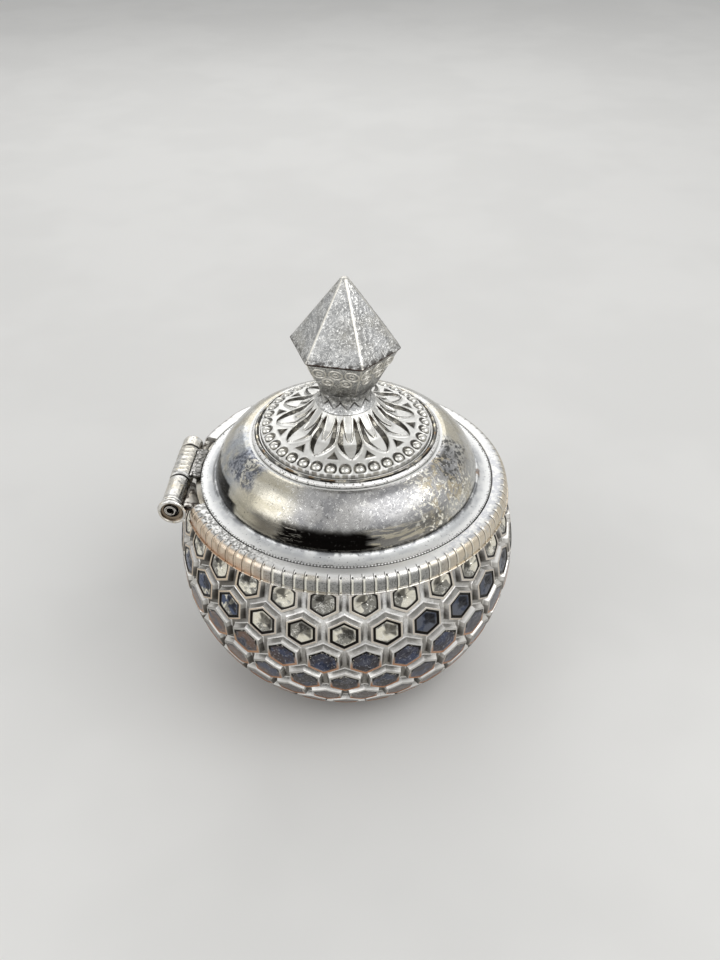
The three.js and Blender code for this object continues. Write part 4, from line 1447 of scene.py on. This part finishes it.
def medallion_sector():
    """One twelfth of the medallion, as a polar grid with a petal in its middle."""
    bm = bmesh.new()
    layers = paint_on(bm, "frost", "soot", "edge")
    rows = []
    for part in range(radial_parts + 1):
        radius = between(neck_foot_radius, medallion_high.x, part / radial_parts)
        row = []
        for side in range(sector_parts + 1):
            turn = (side / sector_parts - 0.5) * full_turn / petals
            height, *paint = petal_relief(radius, turn)
            point = point_relief(radius, turn)
            if point > height:
                height = point
                paint[0] = 1.0 - smooth(0.02, 0.1, point)
            if radius > petal_tip - 0.1:
                socket, away = socket_relief(radius, turn)
                height = max(socket * smooth(petal_tip - 0.1, petal_tip + 0.3, radius), point)
                in_socket = smooth(bead_socket, bead_socket - 0.06, away) * smooth(12.5, 12.3, radius)
                paint[0] = min(paint[0], 1.0 - in_socket)
                # Painted shade in the bead's socket
                paint[1] = 0.3 * in_socket
            place = polar(radius, turn, medallion_low.z + along(cone, radius) + height)
            row.append(dab(bm, place, layers, paint))
        rows.append(row)
    skin(bm, rows, closed=False)
    return as_object("sector", bm)


def closed_off(name, bm, lower_rings, upper_rings, sharp):
    """Carries both open edges of a mesh on through rings, the lower one first, until they meet."""
    for loop, rings in zip(boundary_loops(bm), (lower_rings, upper_rings)):
        extended(bm, loop, rings)
    bmesh.ops.remove_doubles(bm, verts=bm.verts, dist=0.0005)
    return as_object(name, bm, sharp)


def medallion_piece():
    relief = around(medallion_sector(), petals, petal_turn, full_turn / petals, petal_silver)
    low, top = medallion_low.z, medallion_low.z + cone[0][1]
    return closed_off("petal_medallion", in_millimetres(relief), [
        (12.65, low), (9.71, low), (9.6, low + 0.9), (7.65, low + 1.45), (6.05, low + 2.3),
        (5.05, low + 3.3), (neck_foot_radius, top - medallion_wall), (stud_bore, top - medallion_wall),
    ], [(stud_bore, top), (stud_bore, top - medallion_wall)], 60)


def bead_pieces():
    bm = bmesh.new()
    bmesh.ops.create_uvsphere(bm, u_segments=20, v_segments=12, radius=bead_radius)
    middle = (bead_low.z + bead_high.z) / 2 - bead_sink
    bm.transform(Matrix.Translation((bead_circle, 0, middle)) @ Matrix.Diagonal((1, 1, 0.85, 1)))
    [edge] = paint_on(bm, "edge")
    # A painted highlight on the bead's upper half, through the bright edge paint
    for vert in bm.verts:
        vert[edge] = 0.75 * smooth(middle - 0.1, middle + 0.3, vert.co.z)
    pitch = full_turn / beads_around
    bead = as_object("bead", bm, 80)
    return placed("beads", around(bead, beads_around, petal_turn + pitch / 2, pitch, petal_silver), 80)


# Neck and knob

def neck_sector():
    """One twelfth of the neck, with a zigzag groove at its foot and a bead in each of its bays."""
    bm = bmesh.new()
    layers = paint_on(bm, "soot")
    rows = []
    for row in range(neck_rows + 1):
        share = row / neck_rows
        waist = between(neck_waist, neck_foot_radius, (1 - min(share / 0.6, 1.0)) ** 2)
        radius = waist + 0.15 * smooth(0.6, 1.0, share)
        line = []
        for part in range(scallop_parts + 1):
            across = abs(part / scallop_parts * 2 - 1)
            off_line = abs(share - 0.16 - 0.4 * across)
            groove = 0.16 * smooth(0.07, 0.0, off_line)
            # Dark paint in the zigzag groove: painted shade, with tarnish
            soot = 0.9 * smooth(0.1, 0.03, off_line) * smooth(0.1, 0.4, share)
            bead = 0.12 * smooth(0.34, 0.1, math.hypot(1 - across, (share - 0.78) * 4.2))
            turn = (part / scallop_parts - 0.5) * full_turn / scallops
            place = polar(radius - groove + bead, turn, between(neck_low.z, neck_high.z, share))
            line.append(dab(bm, place, layers, (soot,)))
        rows.append(line)
    skin(bm, rows, closed=False)
    return as_object("neck_sector", bm)


def neck_piece():
    relief = around(neck_sector(), scallops, petal_turn, full_turn / scallops, knob_silver)
    low, high = neck_low.z, neck_high.z
    bore = [(stud_bore, high), (stud_bore, low)]
    return closed_off("scalloped_neck", in_millimetres(relief), bore[1:], bore, 50)


def faceted(sizes, parts, soft):
    """A hexagonal body over (corner radius, height) pairs, and its rings. Its corners are
    rounded by the given reach and painted as ridges."""
    bm = bmesh.new()
    layers = paint_on(bm, "ridge")
    rings = []
    for corner_radius, height in sizes:
        ring = []
        for index, point in enumerate(hexagon(corner_radius, parts, knob_turn)):
            part = index % parts
            away = min(part, parts - part) / parts * corner_radius
            pull = soft * 0.36 * max(1 - away / (soft * 1.6), 0.0) ** 2
            point *= 1 - min(pull / corner_radius, 0.5)
            ring.append(dab(bm, (*point, height), layers, (smooth(0.34, 0.12, away),)))
        rings.append(ring)
    skin(bm, rings, capped=True)
    return bm, rings


def fleck(point):
    """Short worm-like marks, as a wire brush and casting sand leave them: 0 to 1."""
    bend = Vector((noise.noise(point * 0.9), noise.noise(point * 0.9 + Vector((7, 3, 1))), 0)) * 0.9
    ridge = 1 - abs(noise.noise((point + bend) * 1.9)) * 5.5
    patch = 0.5 + noise.noise(point * 1.3 + Vector((4, 9, 2)))
    return max(ridge, 0.0) * min(max(patch * 1.6, 0.0), 1.0)


def knob_upper_piece():
    parts, rows = 34, 90
    low, high = tip_low.z, tip_high.z
    sizes = [(
        between(knob_girdle_radius, 0.6, row / rows), between(low + 0.2, high - 0.12, row / rows),
    ) for row in range(rows + 1)]
    sizes = [(spire_foot, low), (spire_edge, low + 0.07), *sizes, (0.34, high - 0.03)]
    bm, rings = faceted(sizes, parts, 0.22)
    bmesh.ops.recalc_face_normals(bm, faces=bm.faces)
    bm.normal_update()
    for ring in rings[3:-2]:
        for place, vert in enumerate(ring):
            part = place % parts
            corner = min(part, parts - part) / parts * vert.co.xy.length
            vert.co += vert.normal * dent_depth * fleck(vert.co) * smooth(0.2, 0.6, corner)
    return as_object("knob_spire", bm, 60)


def knob_lower_body():
    rows = 16
    low, high = knob_low.z, girdle.z
    sizes = [(
        between(knob_foot_radius, knob_shoulder_radius, row / rows), between(low, high - 0.1, row / rows),
    ) for row in range(rows + 1)]
    bm = faceted(sizes + [(knob_shoulder_radius - 0.25, high)], 12, 0.25)[0]
    [soot] = paint_on(bm, "soot")
    for vert in bm.verts:
        # Dark paint over the cup, deeper towards its foot: painted shade under and between the ornament,
        # with tarnish
        vert[soot] = 0.15 * (1 - smooth(low + 1.5, low + 2.5, vert.co.z)) + 0.15
    return bm


def torus(bm, middle, radius, wire, sides):
    """A small ring lying in the XY plane."""
    rings = []
    for side in range(sides):
        section = [polar(wire, full_turn * part / wire_sides).xy for part in range(wire_sides)]
        rings.append([
            bm.verts.new(middle + polar(radius + out, full_turn * side / sides, up)) for out, up in section
        ])
    skin(bm, rings + rings[:1])


def knob_face_work():
    """The ornament of one face of the knob's lower half: florets above, rings below."""
    flat_share = math.cos(math.pi / 6)
    slope = math.atan2(girdle.z - knob_low.z, (knob_shoulder_radius - knob_foot_radius) * flat_share)
    bm = bmesh.new()
    for up, places, sizes in (
        (5.2, (-2.3, 0.0, 2.3), ((0.95, 0.15, 18), (0.38, 0.14, 12))),
        (3.4, (-1.3, 1.3), ((0.75, 0.15, 18), (0.22, 0.15, 10))),
    ):
        for across in places:
            for radius, wire, sides in sizes:
                torus(bm, Vector((across, up, 0)), radius, wire, sides)
    [ridge] = paint_on(bm, "ridge")
    for vert in bm.verts:
        vert[ridge] = 1.0
    bm.transform(Matrix.Rotation(knob_turn + math.pi / 6, 4, "Z") @ Matrix((
        (0, math.cos(slope), math.sin(slope), knob_foot_radius * flat_share),
        (1, 0, 0, 0),
        (0, math.sin(slope), -math.cos(slope), knob_low.z),
        (0, 0, 0, 1),
    )))
    return as_object("face_work", bm)


def knob_lower_piece():
    ornament = around(knob_face_work(), knob_sides, 0.0, full_turn / knob_sides, knob_silver)
    body = knob_lower_body()
    body.transform(Matrix.Scale(mm, 4))
    return as_object("knob_cup", in_millimetres(as_mesh("knob_body", body), ornament), 45)


# Fastening and base

def base_piece():
    return turned("base_disc", washer(0.0, base_high.x, base_low.z, base_high.z, (0, 0.2, 0.15, 0)))


def stud_piece():
    """The stud, with its thread as fine rings."""
    radius, low, high = stud_high.x, stud_low.z, stud_high.z
    outline = [(0.0, low), (radius - 0.2, low), (radius, low + 0.2)]
    place = low + thread_pitch
    while place < high - 0.5:
        outline += [(radius, place), (radius - thread_depth, place + thread_pitch / 2)]
        place += thread_pitch
    outline += [(radius, high - 0.2), (radius - 0.2, high), (0.0, high)]
    return turned("threaded_stud", outline, stud_sides)


def washer_piece():
    outline = washer(stud_bore, washer_high.x, washer_low.z, washer_high.z, (0.05, 0.12, 0.12, 0.05))
    return turned("crown_washer", outline, washer_sides)


def nut_piece():
    low, high = nut_low.z, nut_high.z
    bm = bmesh.new()
    skin(bm, [[
        bm.verts.new((*(point.normalized() * min(point.length, nut_corner * flat)), height))
        for point in hexagon(nut_corner, 8, knob_turn)
    ] for flat, height in ((0.86, low), (1.0, low + 0.22), (1.0, high - 0.22), (0.86, high))])
    bore = [(stud_bore, high), (stud_bore, low)]
    return closed_off("crown_nut", bm, bore[1:], bore, 30)


# Putting the pieces on their bodies

def dress(piece, body, material, slot, *nodes):
    piece.data.materials.clear()
    piece.data.materials.append(material)
    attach(piece, body)
    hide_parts(*nodes)


dress(bowl_piece(), "body", pad_silver, "pad_silver", "bowl")
dress(base_piece(), "body", base_silver, "base_silver", "base_plate")
dress(band_piece(), "body", band_silver, "band_silver", "mouth_band")
dress(collar_piece(), "body", collar_silver, "collar_silver", "collar")
dress(front_knuckle_piece(), "body", hinge_silver, "hinge_silver", "front_knuckle")
dress(rear_knuckle_piece(), "body", hinge_silver, "hinge_silver", "rear_knuckle")
dress(end_ring_piece(), "body", hinge_silver, "hinge_silver", "hinge_end_ring")
dress(pin_piece(), "body", hinge_silver, "hinge_silver", "hinge_pin")
dress(softened("front_tab", "front_bracket", 0.12), "body", tab_metal, "tab_metal", "front_tab")
dress(softened("rear_tab", "rear_bracket", 0.12), "body", tab_metal, "tab_metal", "rear_tab")
dress(middle_knuckle_piece(), "lid", hinge_silver, "hinge_silver", "lid_knuckle")
dress(softened("lid_tab", "lid_leaf", 0.08), "lid", leaf_silver, "frosted_silver", "lid_tab")
dress(lid_rim_piece(), "lid", frosted_silver, "frosted_silver", "lid_rim")
dress(skirt_piece(), "lid", band_silver, "band_silver", "lid_skirt")
dress(dome_piece(), "lid", dome_silver, "dome_silver", "lid_dome")
dress(ring_piece(), "lid", ring_silver, "dome_silver", "medallion_ring")
dress(medallion_piece(), "lid", petal_silver, "petal_silver", "medallion")
dress(bead_pieces(), "lid", petal_silver, "petal_silver", "bead_ring")
dress(neck_piece(), "lid", knob_silver, "knob_silver", "neck")
dress(knob_lower_piece(), "lid", knob_silver, "knob_silver", "knob_lower")
dress(knob_upper_piece(), "lid", knob_silver, "knob_silver", "knob_upper")
dress(stud_piece(), "lid", plain_brass, "plain_brass", "knob_stud")
dress(washer_piece(), "lid", plain_brass, "plain_brass", "knob_washer")
dress(nut_piece(), "lid", plain_brass, "plain_brass", "knob_nut")


# Floor, light and camera

def make_floor():
    """Matt pale paper."""
    paper = bpy.data.materials.new("studio_paper")
    tree = shader_tree(paper)
    coords = add(tree, "ShaderNodeTexCoord").outputs["Object"]
    tone = add(tree, "ShaderNodeMix", {
        0: spots(coords, floor_patch * mm, 0.4, 0.6), 6: colour("#e6e5e2"), 7: colour("#eae9e6"),
    }, data_type="RGBA")
    matt = add(tree, "ShaderNodeBsdfPrincipled", {"Base Color": tone.outputs[2], "Roughness": 0.8})
    add(tree, "ShaderNodeOutputMaterial", {"Surface": matt.outputs[0]})
    bm = bmesh.new()
    bmesh.ops.create_grid(bm, x_segments=1, y_segments=1, size=floor_half)
    floor = as_object("studio_floor", bm)
    floor.data.materials.append(paper)


def make_world():
    """Even pale light. Mirrors and the camera see it a little brighter than the floor does."""
    world = bpy.data.worlds.new("studio")
    bpy.context.scene.world = world
    tree = shader_tree(world)
    ray = add(tree, "ShaderNodeLightPath").outputs
    seen = worked_out(tree, {key: ray[f"Is {key} Ray"] for key in ("Camera", "Glossy", "Transmission")}, (
        ("either", "MAXIMUM", "Camera", "Glossy"),
        ("any", "MAXIMUM", "either", "Transmission"),
    ))["any"]
    strength = add(tree, "ShaderNodeMix", {0: seen, 2: sky_power, 3: seen_sky_power}).outputs[0]
    sky = add(tree, "ShaderNodeBackground", {"Color": colour("#f4f5f6"), "Strength": strength})
    add(tree, "ShaderNodeOutputWorld", {"Surface": sky.outputs[0]})


def make_lamp(name, place, size, power):
    """A soft lamp that faces the middle of the box."""
    lamp = bpy.data.lights.new(name, "AREA")
    lamp.shape = "RECTANGLE"
    lamp.size, lamp.size_y = size[0] * mm, size[1] * mm
    lamp.energy = power
    holder = bpy.data.objects.new(name, lamp)
    holder.location = Vector(place) * mm
    aim = Vector((0, 0, box_middle * mm)) - holder.location
    holder.rotation_euler = aim.to_track_quat("-Z", "Y").to_euler()
    bpy.context.collection.objects.link(holder)


def make_camera():
    """The photograph's view, with its place measured from the middle of the seam."""
    lens = bpy.data.cameras.new("camera")
    lens.lens = camera_lens
    lens.clip_start = 1 * mm
    camera = bpy.data.objects.new("camera", lens)
    away = Matrix.Rotation(camera_turn, 3, "Z") @ Vector(camera_place)
    camera.location = (Vector((0, 0, rim_low.z)) + away) * mm
    camera.rotation_euler = (camera_tilt, 0, camera_turn)
    bpy.context.collection.objects.link(camera)
    bpy.context.scene.camera = camera


make_floor()
make_world()
make_lamp("key", (215, -120, 315), (320, 260), 0.56)
make_lamp("fill", (-290, -190, 220), (280, 280), 0.28)
make_lamp("back", (-60, 330, 240), (340, 200), 0.28)
make_camera()
bpy.context.scene.view_settings.view_transform = "Standard"
